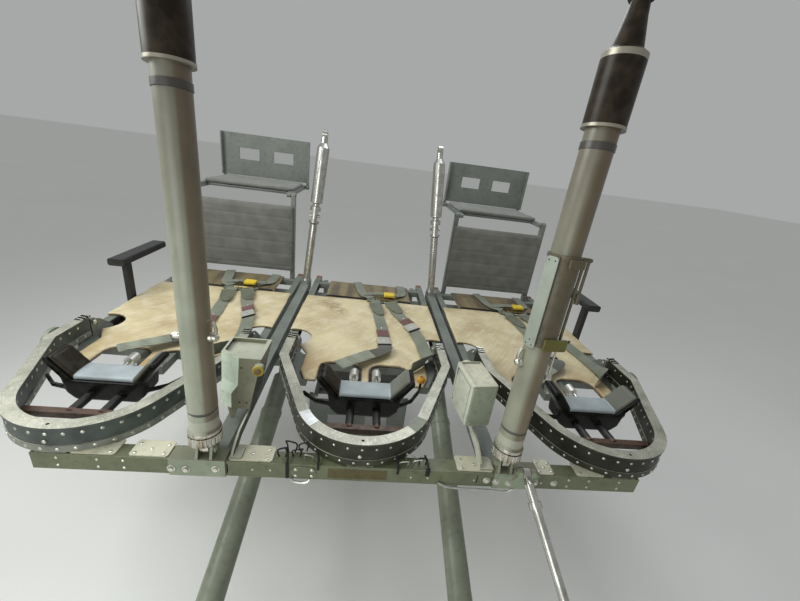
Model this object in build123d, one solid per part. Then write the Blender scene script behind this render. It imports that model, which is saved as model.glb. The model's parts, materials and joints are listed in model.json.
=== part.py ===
from build123d import *
import math
import os

# Spacecraft crew couch assembly: three couches side by side on a head beam, two side beams and
# two cross beams, hung and braced by telescoping struts.
# Millimetres. While it is modelled, X runs across the couches, Y from head to feet and Z up, away
# from the back pans, with zero at the nose of the centre couch's ring on its top face.
# At the end all is moved so that the origin is midway between the head struts' upper eyes.

# Couches
couch_names = ("left", "centre", "right")
couch_pitch = 650
couch_x = {"left": -couch_pitch, "centre": 0, "right": couch_pitch}

# Ring frame round the headrest
ring_half_width = 265
ring_nose_radius = 180
ring_bend_y = 350
ring_end_y = 476
ring_band = 28
ring_height = 63
ring_flange = 4
ring_recess = 1.6
ring_strip_height = 17
ring_wall = 2.5
ring_floor = 3
ring_hole_radius = 3.2
ring_pin_reach = 22
ring_pin_z = -24
ring_pin_radius = 5
ring_lug_radius = 11
ring_lug_width = 10
ring_cheek_width = 5
ring_cheek_gap = 2

# Back pan and hip panel: cloth over a frame
pan_top = -60
pan_thickness = 12
pan_half_width = 293
pan_near_y = 318
pan_far_y = 985
lobe_half_width = 205
lobe_far_y = 470
shoulder_y = 610
notch_inner_x = 14
notch_outer_x = 148
notch_far_y = 426
notch_radius = 38
bite_x = 266
bite_y = 578
bite_radius = 60
hip_panel_half_width = 205
hip_panel_near_y = 998
hip_panel_far_y = 1217
hip_panel_drop = 4

# Back frame under the pan
rail_x = 275
rail_width = 28
rail_height = 40
rail_wall = 4
member_depth = 30
member_height = 26
member_ys = (442, 720, 960, 1190)
toe_y = 332
toe_x = 180
toe_width = 24

# Hip, knee and ankle axes
hip_y = 1262
hip_z = -96
seat_length = 440
leg_length = 400
foot_length = 250
hip_pin_radius = 8
knee_pin_radius = 7
ankle_pin_radius = 6
running_gap = 0.05
hip_cap_reach = 38

# Seat, leg and foot frames, drawn lying flat behind their own axis
seat_rail_x = 235
seat_rail_width = 20
seat_rail_half_height = 14
leg_rail_x = 212
leg_rail_width = 18
leg_rail_half_height = 11
foot_lug_x = 234
foot_lug_width = 16
foot_plate_thickness = 8
cross_tube_radius = 9
seat_pad_thickness = 14
leg_pad_thickness = 14

# Angles at rest, turned up from lying flat
raised_hip_angle = 90
lowered_hip_angle = -90
knee_angle = -90
ankle_angle = 90
hip_angle = {"left": raised_hip_angle, "centre": lowered_hip_angle, "right": raised_hip_angle}

# Headrest, its rails and its bosses
headrest_near_y = 174
headrest_depth = 72
headrest_centre_half_width = 67
headrest_wing_half_width = 132
headrest_wing_top = 50
headrest_bottom = -70
headrest_relief_y = 236
headrest_relief_z = -54
headrest_pad_thickness = 12
headrest_pad_inset = 4
headrest_rail_x = 35
headrest_rail_z = -52
headrest_rail_radius = 6
headrest_boss_radius = 11
headrest_boss_inset = 5
headrest_travel = 75
headrest_corner = 9
headrest_edge = 6
headrest_arm_width = 8
headrest_arm_z = -44
headrest_arm_height = 12
headrest_arm_left = ((-84, 180), (-130, 190), (-170, 224))
headrest_arm_right = ((84, 182), (132, 214), (160, 262), (168, 296))
headrest_knob_radius = 12
rail_sleeve_radius = 11
rail_sleeve_end = 168
crossbar_y = 106
crossbar_depth = 18
crossbar_height = 16
socket_near_y = 327
socket_radius = 14
socket_length = 34
socket_depth = 30
socket_width = 24

# Head beam, its plates and clevises
beam_half_length = 690
beam_depth = 36
beam_height = 42
beam_wall = 3
nose_packing = 3
plate_thickness = 3
plate_overlap = 12
plate_chamfer = 4
plate_spans = (
    # low x, high x
    (-615, -525), (-498, -418), (-291, -197), (228, 316), (428, 469), (528, 600),
)
beam_slots = (-293, 279)
beam_slot_width = 3
clevis_skin = 4
clevis_spans = {
    # low x, high x of the skin under each head strut
    "left": (-414, -296),
    "right": (318, 426),
}
lug_gap = 24
lug_thickness = 6
strut_pin_x = 341
strut_pin_y = 18
strut_pin_rise = 23
strut_pin_radius = 8
lug_round = 14
tongue_radius = 13
nut_radius = 12
nut_height = 5
stay_pin = (384, -12, -46)
stay_pin_radius = 5
stay_eye_width = 16
stay_eye_radius = 12
stay_ear_width = 12
stay_ear_gap = 1.5
stay_ear_rise = 24

# Side beams, cross beams
side_beam_x = 325
side_beam_width = 38
side_beam_far_y = 1205
side_beam_wall = 4
cross_beam_half_length = couch_pitch + rail_x + rail_width / 2
cross_beam_depth = 40
cross_beam_height = 32
cross_beam_wall = 3
cross_beam_ys = (520, 1130)
brace_lug_x = 16
brace_lug_thickness = 6
brace_lug_reach = 24

# Struts
head_tube_radius = 29.5
head_strut_length = 940
head_lean_foot = 0.081
head_lean_out = 0.038
collar_start = 16
collar_end = 41
collar_radius = 34
flute_radius = 2.5
flute_count = 24
flare_start = 44
flare_width = 6
flare_rise = 4
flare_end = 58
groove_start = 94
groove_width = 7
groove_depth = 2.2
band_start = 698
band_width = 12
band_rise = 1.5
sleeve_start = 733
sleeve_rim = 6
sleeve_end = 852
sleeve_radius = 37
guard_start = 312
guard_end = 505
guard_wall = 3
guard_clamp = 8
guard_clamp_rise = 1
guard_tab_side = 6
guard_rod_radius = 3
guard_clip_length = 24
strip_width = 28
strip_thickness = 4
strip_turn = 118
eye_radius = 21
eye_bore_radius = 8
eye_thickness = 22
foot_strut_y = 1160
foot_strut_top = (268, 1215, 640)
foot_rod_radius = 18
foot_tube_radius = 28
foot_fork_radius = 25
lower_strut_ends = {
    # x of the high pin, x of the low eye
    "left": (-272, -316),
    "right": (256, 276),
}
lower_strut_low_y = -210
lower_strut_low_z = -428
lower_tube_radius = 30
lower_ring_start = 0.22
lower_ring_width = 16
lower_ring_rise = 1.5
side_strut_radius = 26
side_strut_length = 110
side_pad_radius = 52
side_pad_thickness = 12

# Boxes between the couches
box_table = {
    # name: low x, high x, low y, high y, low z, high z
    "side_box_left": (-350, -247, 110, 205, -12, 130),
    "side_box_right": (252, 321, 88, 202, -9, 112),
}
right_box_yaw = 8
box_chamfer = 7
box_bracket_thickness = 5
box_bracket_x = 282
box_flange_spans = {
    # from the middle: near side, far side of the flange on the beam
    "side_box_left": (264, 287),
    "side_box_right": (282, 316),
}
box_rim = 5
left_box_chamfer = (
    # height, leg of the corner cut across and along
    (-14, 32, 16), (30, 34, 17), (56, 50, 25), (140, 56, 28),
)

# Armrests, on the outer side of the side couches
armrest_pivot_y = 800
armrest_pin_radius = 7
armrest_pin_overhang = 3
armrest_post_thickness = 18
armrest_post_gap = 6
armrest_rise = 165
armrest_pad_length = 300
armrest_pad_width = 58
armrest_pad_thickness = 26

# Stay rod under the right clevis
stay_radius = 10
stay_end = (470, -330, -300)

# Harness
strap_width = 45
strap_thickness = 3
buckle_centre = (75, 1000)
buckle_size = (92, 66, 14)

# Values that follow from the sizes above
beam_top = -ring_height - nose_packing
pan_bottom = pan_top - pan_thickness
rail_top = pan_bottom
rail_bottom = rail_top - rail_height
side_beam_top = beam_top
cross_beam_top = rail_bottom
strut_pin_z = beam_top + strut_pin_rise
head_strut_top = (
    strut_pin_x + head_lean_out * head_strut_length,
    strut_pin_y + head_lean_foot * head_strut_length,
    strut_pin_z + head_strut_length,
)
origin = (0, head_strut_top[1], head_strut_top[2])
brace_pin_y = cross_beam_ys[0] - cross_beam_depth / 2 - brace_lug_reach
brace_pin_z = cross_beam_top - cross_beam_height / 2


def block(low_x, high_x, low_y, high_y, low_z, high_z):
    size = (high_x - low_x, high_y - low_y, high_z - low_z)
    return Pos((low_x + high_x) / 2, (low_y + high_y) / 2, (low_z + high_z) / 2) * Box(*size)


def hollow_bar(low_x, high_x, low_y, high_y, low_z, high_z, wall, along):
    """Square tube, open at both ends along the named axis."""
    grow = {"x": (1, -wall, -wall), "y": (-wall, 1, -wall)}[along]
    outside = block(low_x, high_x, low_y, high_y, low_z, high_z)
    inside = block(low_x - grow[0], high_x + grow[0], low_y - grow[1], high_y + grow[1],
                   low_z - grow[2], high_z + grow[2])
    return outside - inside


def turned(start, end, profile):
    """Round piece about the line from start to end. Each profile row is distance, radius."""
    points = [(0, profile[0][0])]
    points += [(radius, distance) for distance, radius in profile]
    points += [(0, profile[-1][0])]
    face = Plane.XZ * make_face(Polyline(*points, close=True))
    along = Vector(*end) - Vector(*start)
    return Plane(origin=start, z_dir=along) * revolve(face, Axis.Z, 360)


def cylinder_x(centre, radius, length):
    return Pos(*centre) * Rot(0, 90, 0) * Cylinder(radius, length)


def cylinder_y(centre, radius, length):
    return Pos(*centre) * Rot(90, 0, 0) * Cylinder(radius, length)


def mirrored(shape):
    return mirror(shape, about=Plane.YZ)


def side_plate(points, low_x, high_x):
    """Plate across X. Its outline is a list of Y, Z points."""
    face = Plane.YZ * make_face(Polyline(*points, close=True))
    return Pos(low_x, 0, 0) * extrude(face, high_x - low_x)


def on_axis(start, end, reach):
    """Plane that far from start on the line to end, with Z along the line and X level."""
    direction = (Vector(*end) - Vector(*start)).normalized()
    across = (Vector(1, 0, 0) - direction * direction.X).normalized()
    return Plane(origin=Vector(*start) + direction * reach, x_dir=across, z_dir=direction)


def mirrored_outline(half):
    """Face whose right half is given as points, from the foot of the middle line to its top."""
    points = half + [(-x, y) for x, y in reversed(half) if x != 0]
    return make_face(Polyline(*points, close=True))


def both_sides(shape):
    return Compound(children=[shape, mirrored(shape)])


def distance(start, end):
    return (Vector(*end) - Vector(*start)).length


def horseshoe(inset, end_y):
    """Face inside the ring's outline, drawn in by inset: round nose, flaring sides, straight arms."""
    radius = ring_nose_radius - inset
    half = ring_half_width - inset
    reach_x = half
    reach_y = ring_bend_y - ring_nose_radius
    turn = math.atan2(reach_y, reach_x) - math.acos(radius / math.hypot(reach_x, reach_y))
    touch_x = radius * math.cos(turn)
    touch_y = ring_nose_radius + radius * math.sin(turn)
    edges = [
        Line((-half, end_y), (-half, ring_bend_y)),
        Line((-half, ring_bend_y), (-touch_x, touch_y)),
        ThreePointArc((-touch_x, touch_y), (0, inset), (touch_x, touch_y)),
        Line((touch_x, touch_y), (half, ring_bend_y)),
        Line((half, ring_bend_y), (half, end_y)),
        Line((half, end_y), (-half, end_y)),
    ]
    return make_face(edges)


def ring_band_between(outer_inset, inner_inset, low_z, high_z):
    """Layer of the ring between two insets from its outline."""
    face = horseshoe(outer_inset, ring_end_y) - horseshoe(inner_inset, ring_end_y + 1)
    return Pos(0, 0, low_z) * extrude(face, high_z - low_z)


def make_ring_frame():
    """Built-up box: top flange, two recessed walls, floor, foot strips, and a lug closing each arm."""
    outer_wall = ring_recess + ring_wall
    inner_wall = ring_band - ring_recess
    strip_top = ring_strip_height - ring_height
    ring = ring_band_between(0, ring_band, -ring_flange, 0)
    ring = ring + ring_band_between(ring_recess, outer_wall, -ring_height, -ring_flange)
    ring = ring + ring_band_between(inner_wall - ring_wall, inner_wall, -ring_height, -ring_flange)
    ring = ring + ring_band_between(outer_wall, inner_wall - ring_wall, -ring_height,
                                    ring_floor - ring_height)
    ring = ring + ring_band_between(0, ring_recess, -ring_height, strip_top)
    ring = ring + ring_band_between(inner_wall, ring_band, -ring_height, strip_top)
    ring = ring - Pos(0, ring_band / 2, 0) * Cylinder(ring_hole_radius, ring_flange * 4)
    arm_x = ring_half_width - ring_band / 2
    pin_y = ring_end_y + ring_pin_reach
    cap = block(ring_half_width - ring_band + ring_recess, ring_half_width - ring_recess,
                ring_end_y, ring_end_y + ring_flange, -ring_height, 0)
    lug = block(arm_x - ring_lug_width / 2, arm_x + ring_lug_width / 2, ring_end_y + ring_flange, pin_y,
                ring_pin_z - ring_lug_radius, ring_pin_z + ring_lug_radius)
    lug = lug + cylinder_x((arm_x, pin_y, ring_pin_z), ring_lug_radius, ring_lug_width)
    lug = lug - cylinder_x((arm_x, pin_y, ring_pin_z), ring_pin_radius + running_gap, ring_band)
    end = cap + lug
    return ring + end + mirrored(end)


def pan_outline():
    half = Polyline(
        (0, pan_near_y),
        (lobe_half_width - 20, pan_near_y),
        (lobe_half_width, pan_near_y + 50),
        (lobe_half_width, lobe_far_y),
        (pan_half_width, shoulder_y),
        (pan_half_width - 4, pan_far_y),
        (0, pan_far_y),
        (0, pan_near_y),
    )
    side = make_face(half)
    return side + mirror(side, about=Plane.YZ)


def make_back_pan():
    """Cloth-covered pan with two notches for the headrest rails and a bite beside each ring end."""
    face = pan_outline()
    notch_width = notch_outer_x - notch_inner_x
    notch_length = 2 * (notch_far_y - pan_near_y)
    for side in (-1, 1):
        notch_centre = Pos(side * (notch_inner_x + notch_outer_x) / 2, pan_near_y)
        face = face - notch_centre * RectangleRounded(notch_width, notch_length, notch_radius)
        face = face - Pos(side * bite_x, bite_y) * Circle(bite_radius)
    pan = Pos(0, 0, pan_bottom) * extrude(face, pan_thickness)
    hip_top = pan_top - hip_panel_drop
    hip = block(-hip_panel_half_width, hip_panel_half_width, hip_panel_near_y, hip_panel_far_y,
                pan_bottom, hip_top)
    return Compound(children=[pan, hip])


def make_back_frame():
    """Two channel rails with the hip arms, cross members, toe pieces and ring end brackets."""
    inner_x = rail_x - rail_width / 2
    outer_x = rail_x + rail_width / 2
    rail_near_y = ring_end_y
    hip_boss = 20
    rail = block(inner_x, outer_x, rail_near_y, hip_y, rail_bottom, rail_top)
    groove = block(inner_x - 1, outer_x - rail_wall, member_ys[0] + member_depth, hip_panel_far_y - 40,
                   rail_bottom + rail_wall, rail_top - rail_wall)
    rail = rail - groove
    rail = rail + cylinder_x((rail_x, hip_y, hip_z), hip_boss, rail_width)
    arm_x = ring_half_width - ring_band / 2
    pin = (arm_x, ring_end_y + ring_pin_reach, ring_pin_z)
    cheek = [(pin[1] - 12, rail_bottom), (pin[1] - 12, pin[2]), (pin[1] + 12, pin[2] + 6),
             (pin[1] + 30, pin[2] - 2), (pin[1] + 82, rail_top), (pin[1] + 82, rail_bottom)]
    cheek_in = ring_lug_width / 2 + ring_cheek_gap
    bracket = block(arm_x - cheek_in - ring_cheek_width, inner_x + 2, pin[1] - 12, pin[1] + 82,
                    rail_bottom, rail_bottom + 8)
    for low_x in (arm_x - cheek_in - ring_cheek_width, arm_x + cheek_in):
        plate = side_plate(cheek, low_x, low_x + ring_cheek_width)
        plate = plate + cylinder_x((low_x + ring_cheek_width / 2, pin[1], pin[2]), 12, ring_cheek_width)
        bracket = bracket + plate
    bracket = bracket + cylinder_x(pin, ring_pin_radius, 2 * (cheek_in + ring_cheek_width) + 6)
    cap = block(inner_x, outer_x, hip_y + 14, hip_y + hip_cap_reach, rail_bottom, rail_top)
    cap = fillet(cap.edges().filter_by(Axis.X), 6)
    side = rail + bracket + cap
    side = side - cylinder_x((rail_x, hip_y, hip_z), hip_pin_radius + running_gap, rail_width * 3)
    toe = make_face(Polyline(
        (toe_x, toe_y), (toe_x + toe_width, toe_y), (inner_x + 2, ring_end_y + 10),
        (inner_x + 2, ring_end_y + 50), (toe_x, member_ys[0]), (toe_x, toe_y),
    ))
    side = side + Pos(0, 0, rail_top - member_height) * extrude(toe, member_height)
    frame = side + mirrored(side)
    for y in member_ys:
        low_y = y - member_depth / 2
        half = inner_x if y > ring_end_y else toe_x + toe_width
        frame = frame + block(-half, half, low_y, low_y + member_depth, rail_top - member_height, rail_top)
    socket_middle_y = socket_near_y + socket_length / 2
    socket_far_y = member_ys[0] - member_depth / 2 + 1
    stem_near_y = socket_near_y + 14
    stem_low_z = rail_top - member_height
    for x in (-headrest_rail_x, headrest_rail_x):
        low_x = x - socket_width / 2
        high_x = x + socket_width / 2
        frame = frame + cylinder_y((x, socket_middle_y, headrest_rail_z), socket_radius, socket_length)
        frame = frame + block(low_x, high_x, stem_near_y, socket_near_y + socket_length,
                              stem_low_z, headrest_rail_z)
        frame = frame + block(low_x, high_x, stem_near_y, socket_far_y, stem_low_z, rail_top)
    for x in (-headrest_rail_x, headrest_rail_x):
        bore_middle_y = socket_near_y + socket_depth / 2
        frame = frame - cylinder_y((x, bore_middle_y, headrest_rail_z), headrest_rail_radius, socket_depth)
    return frame


def make_headrest_rails():
    """Crossbar inside the ring's nose and the two rods on which the headrest slides."""
    inner = horseshoe(ring_band, ring_end_y)
    bar_low = headrest_rail_z - crossbar_height / 2
    strip = Pos(0, crossbar_y) * Rectangle(2 * ring_half_width, crossbar_depth)
    bar = Pos(0, 0, bar_low) * extrude(inner & strip, crossbar_height)
    for x in (-headrest_rail_x, headrest_rail_x):
        for end_y, radius in ((socket_near_y + socket_depth, headrest_rail_radius),
                              (rail_sleeve_end, rail_sleeve_radius)):
            middle_y = (crossbar_y + end_y) / 2
            bar = bar + cylinder_y((x, middle_y, headrest_rail_z), radius, end_y - crossbar_y)
    return bar


def pad_surface(drop):
    """Points of the headrest pad's upper face, or of the one that far below it, from the middle out."""
    wing_in_x = headrest_wing_half_width - 26
    return [
        (0, -drop),
        (headrest_centre_half_width + drop * 0.4, -drop),
        (wing_in_x + drop, headrest_wing_top - 2),
    ]


def make_headrest_cradle():
    """Moulded shell under the pad, stepped to clear the pan, with bosses on the rods and two arms."""
    wing = headrest_wing_half_width
    outline = mirrored_outline([
        (0, headrest_bottom), (72, headrest_bottom), (92, headrest_bottom + 20), (99, -6),
        (wing, headrest_wing_top - 10), (wing - 6, headrest_wing_top), (0, headrest_wing_top),
    ])
    outline = fillet(outline.vertices(), headrest_corner)
    far_y = headrest_near_y + headrest_depth
    cradle = Pos(0, far_y, 0) * extrude(Plane.XZ * outline, headrest_depth)
    ends = cradle.faces().filter_by(Axis.Y)
    cradle = fillet(ends[0].edges() + ends[1].edges(), headrest_edge)
    hollow = pad_surface(headrest_pad_thickness)
    hollow = hollow + [(hollow[-1][0] + 2, headrest_wing_top + 20), (0, headrest_wing_top + 20)]
    cradle = cradle - Pos(0, far_y + 1, 0) * extrude(Plane.XZ * mirrored_outline(hollow), headrest_depth + 2)
    cradle = cradle - block(-wing, wing, headrest_relief_y, far_y + 1, headrest_bottom - 1, headrest_relief_z)
    for points in (headrest_arm_left, headrest_arm_right):
        arm = Pos(0, 0, headrest_arm_z) * extrude(ribbon(points, headrest_arm_width), headrest_arm_height)
        cradle = cradle + arm
    knob_x, knob_y = headrest_arm_right[-1]
    stem_z = headrest_arm_z + headrest_arm_height
    knob_z = stem_z + headrest_knob_radius
    cradle = cradle + Pos(knob_x, knob_y, knob_z) * Sphere(headrest_knob_radius)
    cradle = cradle + Pos(knob_x, knob_y, stem_z) * Cylinder(headrest_arm_width / 2, headrest_knob_radius)
    middle_y = headrest_near_y + headrest_depth / 2
    boss_length = headrest_depth - 2 * headrest_boss_inset
    for x in (-headrest_rail_x, headrest_rail_x):
        cradle = cradle + cylinder_y((x, middle_y, headrest_rail_z), headrest_boss_radius, boss_length)
    bore_radius = headrest_rail_radius + running_gap
    for x in (-headrest_rail_x, headrest_rail_x):
        cradle = cradle - cylinder_y((x, middle_y, headrest_rail_z), bore_radius, headrest_depth * 2)
    return cradle


def make_headrest_pad():
    """Pad lining the cradle: flat in the middle, turned up along both wings."""
    gap = 0.4
    upper = pad_surface(0)
    lower = [(x, z + gap) for x, z in pad_surface(headrest_pad_thickness)]
    tip = (lower[-1][0], headrest_wing_top + 2)
    outline = mirrored_outline(lower + [tip] + list(reversed(upper)))
    length = headrest_depth - 2 * headrest_pad_inset
    far_y = headrest_near_y + headrest_depth - headrest_pad_inset
    return Pos(0, far_y, 0) * extrude(Plane.XZ * outline, length)


def rounded_rail(centre_x, width, half_height, length, tail=0):
    """Flat link from one axis to the next with round ends."""
    body = block(centre_x - width / 2, centre_x + width / 2, 0, length - tail, -half_height, half_height)
    near = cylinder_x((centre_x, 0, 0), half_height, width)
    far = cylinder_x((centre_x, length - tail, 0), half_height, width)
    return body + near + far


def make_seat_frame():
    rail = rounded_rail(seat_rail_x, seat_rail_width, seat_rail_half_height, seat_length)
    pin_length = rail_x + rail_width / 2 + 4 - (seat_rail_x - seat_rail_width / 2)
    pin_middle = (seat_rail_x - seat_rail_width / 2) + pin_length / 2
    rail = rail + cylinder_x((pin_middle, 0, 0), hip_pin_radius, pin_length)
    rail = rail - cylinder_x((seat_rail_x, seat_length, 0), knee_pin_radius + running_gap, 60)
    frame = rail + mirrored(rail)
    for y in (70, seat_length - 80):
        frame = frame + cylinder_x((0, y, 0), cross_tube_radius, 2 * seat_rail_x)
    return frame


def make_seat_pad():
    half = seat_rail_x + seat_rail_width / 2 - 2
    low = seat_rail_half_height
    pad = block(-half, half, 48, seat_length - 46, low, low + seat_pad_thickness)
    return fillet(pad.edges().filter_by(Axis.Z), 12)


def make_leg_frame():
    rail = rounded_rail(leg_rail_x, leg_rail_width, leg_rail_half_height, leg_length)
    inner = leg_rail_x - leg_rail_width / 2
    pin_length = seat_rail_x + seat_rail_width / 2 + 3 - inner
    rail = rail + cylinder_x((inner + pin_length / 2, 0, 0), knee_pin_radius, pin_length)
    rail = rail - cylinder_x((leg_rail_x, leg_length, 0), ankle_pin_radius + running_gap, 60)
    frame = rail + mirrored(rail)
    for y in (80, leg_length - 70):
        frame = frame + cylinder_x((0, y, 0), cross_tube_radius - 1, 2 * leg_rail_x)
    return frame


def make_leg_pad():
    half = leg_rail_x + leg_rail_width / 2 - 2
    low = leg_rail_half_height
    pad = block(-half, half, 56, leg_length - 34, low, low + leg_pad_thickness)
    return fillet(pad.edges().filter_by(Axis.Z), 12)


def make_foot_pan():
    """Foot plate with two lugs outside the leg rails, side cheeks and heel slots."""
    near = 26
    outer = foot_lug_x + foot_lug_width / 2
    plate = block(-outer, outer, near, foot_length, 0, foot_plate_thickness)
    for side in (-1, 1):
        plate = plate - Pos(side * 95, foot_length / 2 + 20, 0) * Box(110, 60, 40)
    lug = block(foot_lug_x - foot_lug_width / 2, outer, 0, near + 4, -4, foot_plate_thickness)
    lug = lug + cylinder_x((foot_lug_x, 0, 0), 12, foot_lug_width)
    inner = leg_rail_x - leg_rail_width / 2
    lug = lug + cylinder_x(((inner + outer) / 2, 0, 0), ankle_pin_radius, outer - inner)
    cheek = block(outer - 6, outer, near, foot_length, 0, 34)
    side = lug + cheek
    return plate + side + mirrored(side)


def make_head_beam():
    """Square tube with a packing block under each ring nose and a slot beside each clevis."""
    top = beam_top
    beam = hollow_bar(-beam_half_length, beam_half_length, 0, beam_depth, top - beam_height, top,
                      beam_wall, "x")
    for x in couch_x.values():
        beam = beam + block(x - 30, x + 30, 2, ring_band, top, top + nose_packing)
    for x in beam_slots:
        slot = block(x - beam_slot_width / 2, x + beam_slot_width / 2, -1, beam_wall + 1,
                     top - beam_height + 8, top - 8)
        beam = beam - slot
    return beam


def make_beam_plates():
    """Doubler plates that lie on the beam and lap a little over its far edge."""
    plates = []
    for low_x, high_x in plate_spans:
        plate = block(low_x, high_x, 3, beam_depth + plate_overlap, beam_top, beam_top + plate_thickness)
        plates.append(chamfer(plate.edges().filter_by(Axis.Z), plate_chamfer))
    return Compound(children=plates)


def make_clevis(name):
    """Skin over the beam's front and top, two tapered lugs, and the strut's pin with its nuts."""
    low_x, high_x = clevis_spans[name]
    pin_x = strut_pin_x if name == "right" else -strut_pin_x
    skin_top = beam_top + clevis_skin
    angle = [(-clevis_skin, beam_top - beam_height), (0, beam_top - beam_height), (0, beam_top),
             (beam_depth, beam_top), (beam_depth, skin_top), (-clevis_skin, skin_top)]
    clevis = side_plate(angle, low_x, high_x)
    lug = [(-clevis_skin, beam_top), (beam_depth, beam_top), (strut_pin_y + lug_round, strut_pin_z),
           (strut_pin_y - lug_round, strut_pin_z)]
    nut = Rot(0, 90, 0) * extrude(RegularPolygon(nut_radius, 6), nut_height / 2, both=True)
    for side in (-1, 1):
        middle = pin_x + side * (lug_gap + lug_thickness) / 2
        clevis = clevis + side_plate(lug, middle - lug_thickness / 2, middle + lug_thickness / 2)
        clevis = clevis + cylinder_x((middle, strut_pin_y, strut_pin_z), lug_round, lug_thickness)
        nut_x = middle + side * (lug_thickness + nut_height) / 2
        clevis = clevis + Pos(nut_x, strut_pin_y, strut_pin_z) * nut
    pin_length = lug_gap + 2 * lug_thickness + 2 * nut_height + 4
    return clevis + cylinder_x((pin_x, strut_pin_y, strut_pin_z), strut_pin_radius, pin_length)


def make_stay_ears():
    """Two thick ears with rounded tops on the right clevis, and the stay rod's pin through them."""
    pin_x, pin_y, pin_z = stay_pin
    skin_y = -clevis_skin / 2
    skin_z = beam_top + clevis_skin / 2
    reach = stay_eye_width / 2 + stay_ear_gap
    round_radius = stay_eye_radius
    ear = [(skin_y, beam_top - stay_ear_rise), (skin_y, skin_z), (beam_depth / 2, skin_z),
           (pin_y + round_radius, pin_z), (pin_y, pin_z + round_radius), (pin_y - round_radius, pin_z)]
    ears = cylinder_x(stay_pin, stay_pin_radius, 2 * (reach + stay_ear_width) + 6)
    for low_x in (pin_x - reach - stay_ear_width, pin_x + reach):
        ears = ears + side_plate(ear, low_x, low_x + stay_ear_width)
        ears = ears + cylinder_x((low_x + stay_ear_width / 2, pin_y, pin_z), round_radius, stay_ear_width)
    return ears


def make_strut_clevises():
    """Both clevises. The right one also has two ears for the stay rod."""
    return Compound(children=[make_clevis("left"), make_clevis("right") + make_stay_ears()])


def make_side_beams():
    low_x = side_beam_x - side_beam_width / 2
    high_x = side_beam_x + side_beam_width / 2
    beam = hollow_bar(low_x, high_x, beam_depth, side_beam_far_y, rail_bottom,
                      side_beam_top, side_beam_wall, "y")
    return both_sides(beam)


def make_cross_beams():
    beams = []
    for y in cross_beam_ys:
        beam = hollow_bar(-cross_beam_half_length, cross_beam_half_length, y - cross_beam_depth / 2,
                          y + cross_beam_depth / 2, cross_beam_top - cross_beam_height, cross_beam_top,
                          cross_beam_wall, "x")
        beams.append(beam)
    return Compound(children=beams)


def make_brace_lugs():
    """Two lugs in front of the head cross beam for each lower strut."""
    round_radius = cross_beam_height / 2
    far_y = cross_beam_ys[0] - cross_beam_depth / 2
    lugs = []
    for high_x, low_x in lower_strut_ends.values():
        for side in (-1, 1):
            middle = high_x + side * brace_lug_x
            half = brace_lug_thickness / 2
            lug = block(middle - half, middle + half, brace_pin_y, far_y,
                        brace_pin_z - round_radius, brace_pin_z + round_radius)
            lugs.append(lug + cylinder_x((middle, brace_pin_y, brace_pin_z), round_radius, 2 * half))
    return Compound(children=lugs)


def strut_line():
    """Foot and upper eye of the right head strut."""
    return (strut_pin_x, strut_pin_y, strut_pin_z), head_strut_top


def make_head_struts():
    """Painted tube with a fluted collar over its foot, a polished sleeve near the top, and a bored eye."""
    foot, top = strut_line()
    length = distance(foot, top)
    tube = head_tube_radius
    flare = tube + flare_rise
    groove_end = groove_start + groove_width
    band_end = band_start + band_width
    rim_end = sleeve_start + sleeve_rim
    strut = turned(foot, top, (
        (collar_start, collar_radius - 6), (collar_start + 5, collar_radius), (collar_end, collar_radius),
        (collar_end, tube - 2), (flare_start, tube - 2), (flare_start, flare),
        (flare_start + flare_width, flare), (flare_end, tube + 1), (flare_end, tube),
        (groove_start, tube), (groove_start + 1, tube - groove_depth),
        (groove_end - 1, tube - groove_depth), (groove_end, tube),
        (band_start, tube), (band_start, tube + band_rise), (band_end, tube + band_rise), (band_end, tube),
        (sleeve_start, tube), (sleeve_start, sleeve_radius + 1), (rim_end, sleeve_radius + 1),
        (rim_end, sleeve_radius), (sleeve_end, sleeve_radius), (sleeve_end + 8, 26),
        (length - 34, 17), (length - 14, 15),
    ))
    flute = Pos(collar_radius + flute_radius * 0.4, 0, (collar_end - collar_start) / 2 + 2)
    flute = flute * Cylinder(flute_radius, collar_end - collar_start - 8)
    flutes = [Rot(0, 0, 360 / flute_count * turn) * flute for turn in range(flute_count)]
    strut = strut - on_axis(foot, top, collar_start) * Compound(children=flutes)
    half_tongue = lug_gap / 2 - 3
    tongue = block(strut_pin_x - half_tongue, strut_pin_x + half_tongue,
                   strut_pin_y - tongue_radius, strut_pin_y + tongue_radius,
                   strut_pin_z, strut_pin_z + collar_start + 4)
    tongue = tongue + cylinder_x(foot, tongue_radius, 2 * half_tongue)
    tongue = tongue - cylinder_x(foot, strut_pin_radius + running_gap, 40)
    eye = cylinder_y(top, eye_radius, eye_thickness)
    strut = strut + tongue + eye
    strut = strut - cylinder_y(top, eye_bore_radius, eye_thickness * 3)
    return both_sides(strut)


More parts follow.
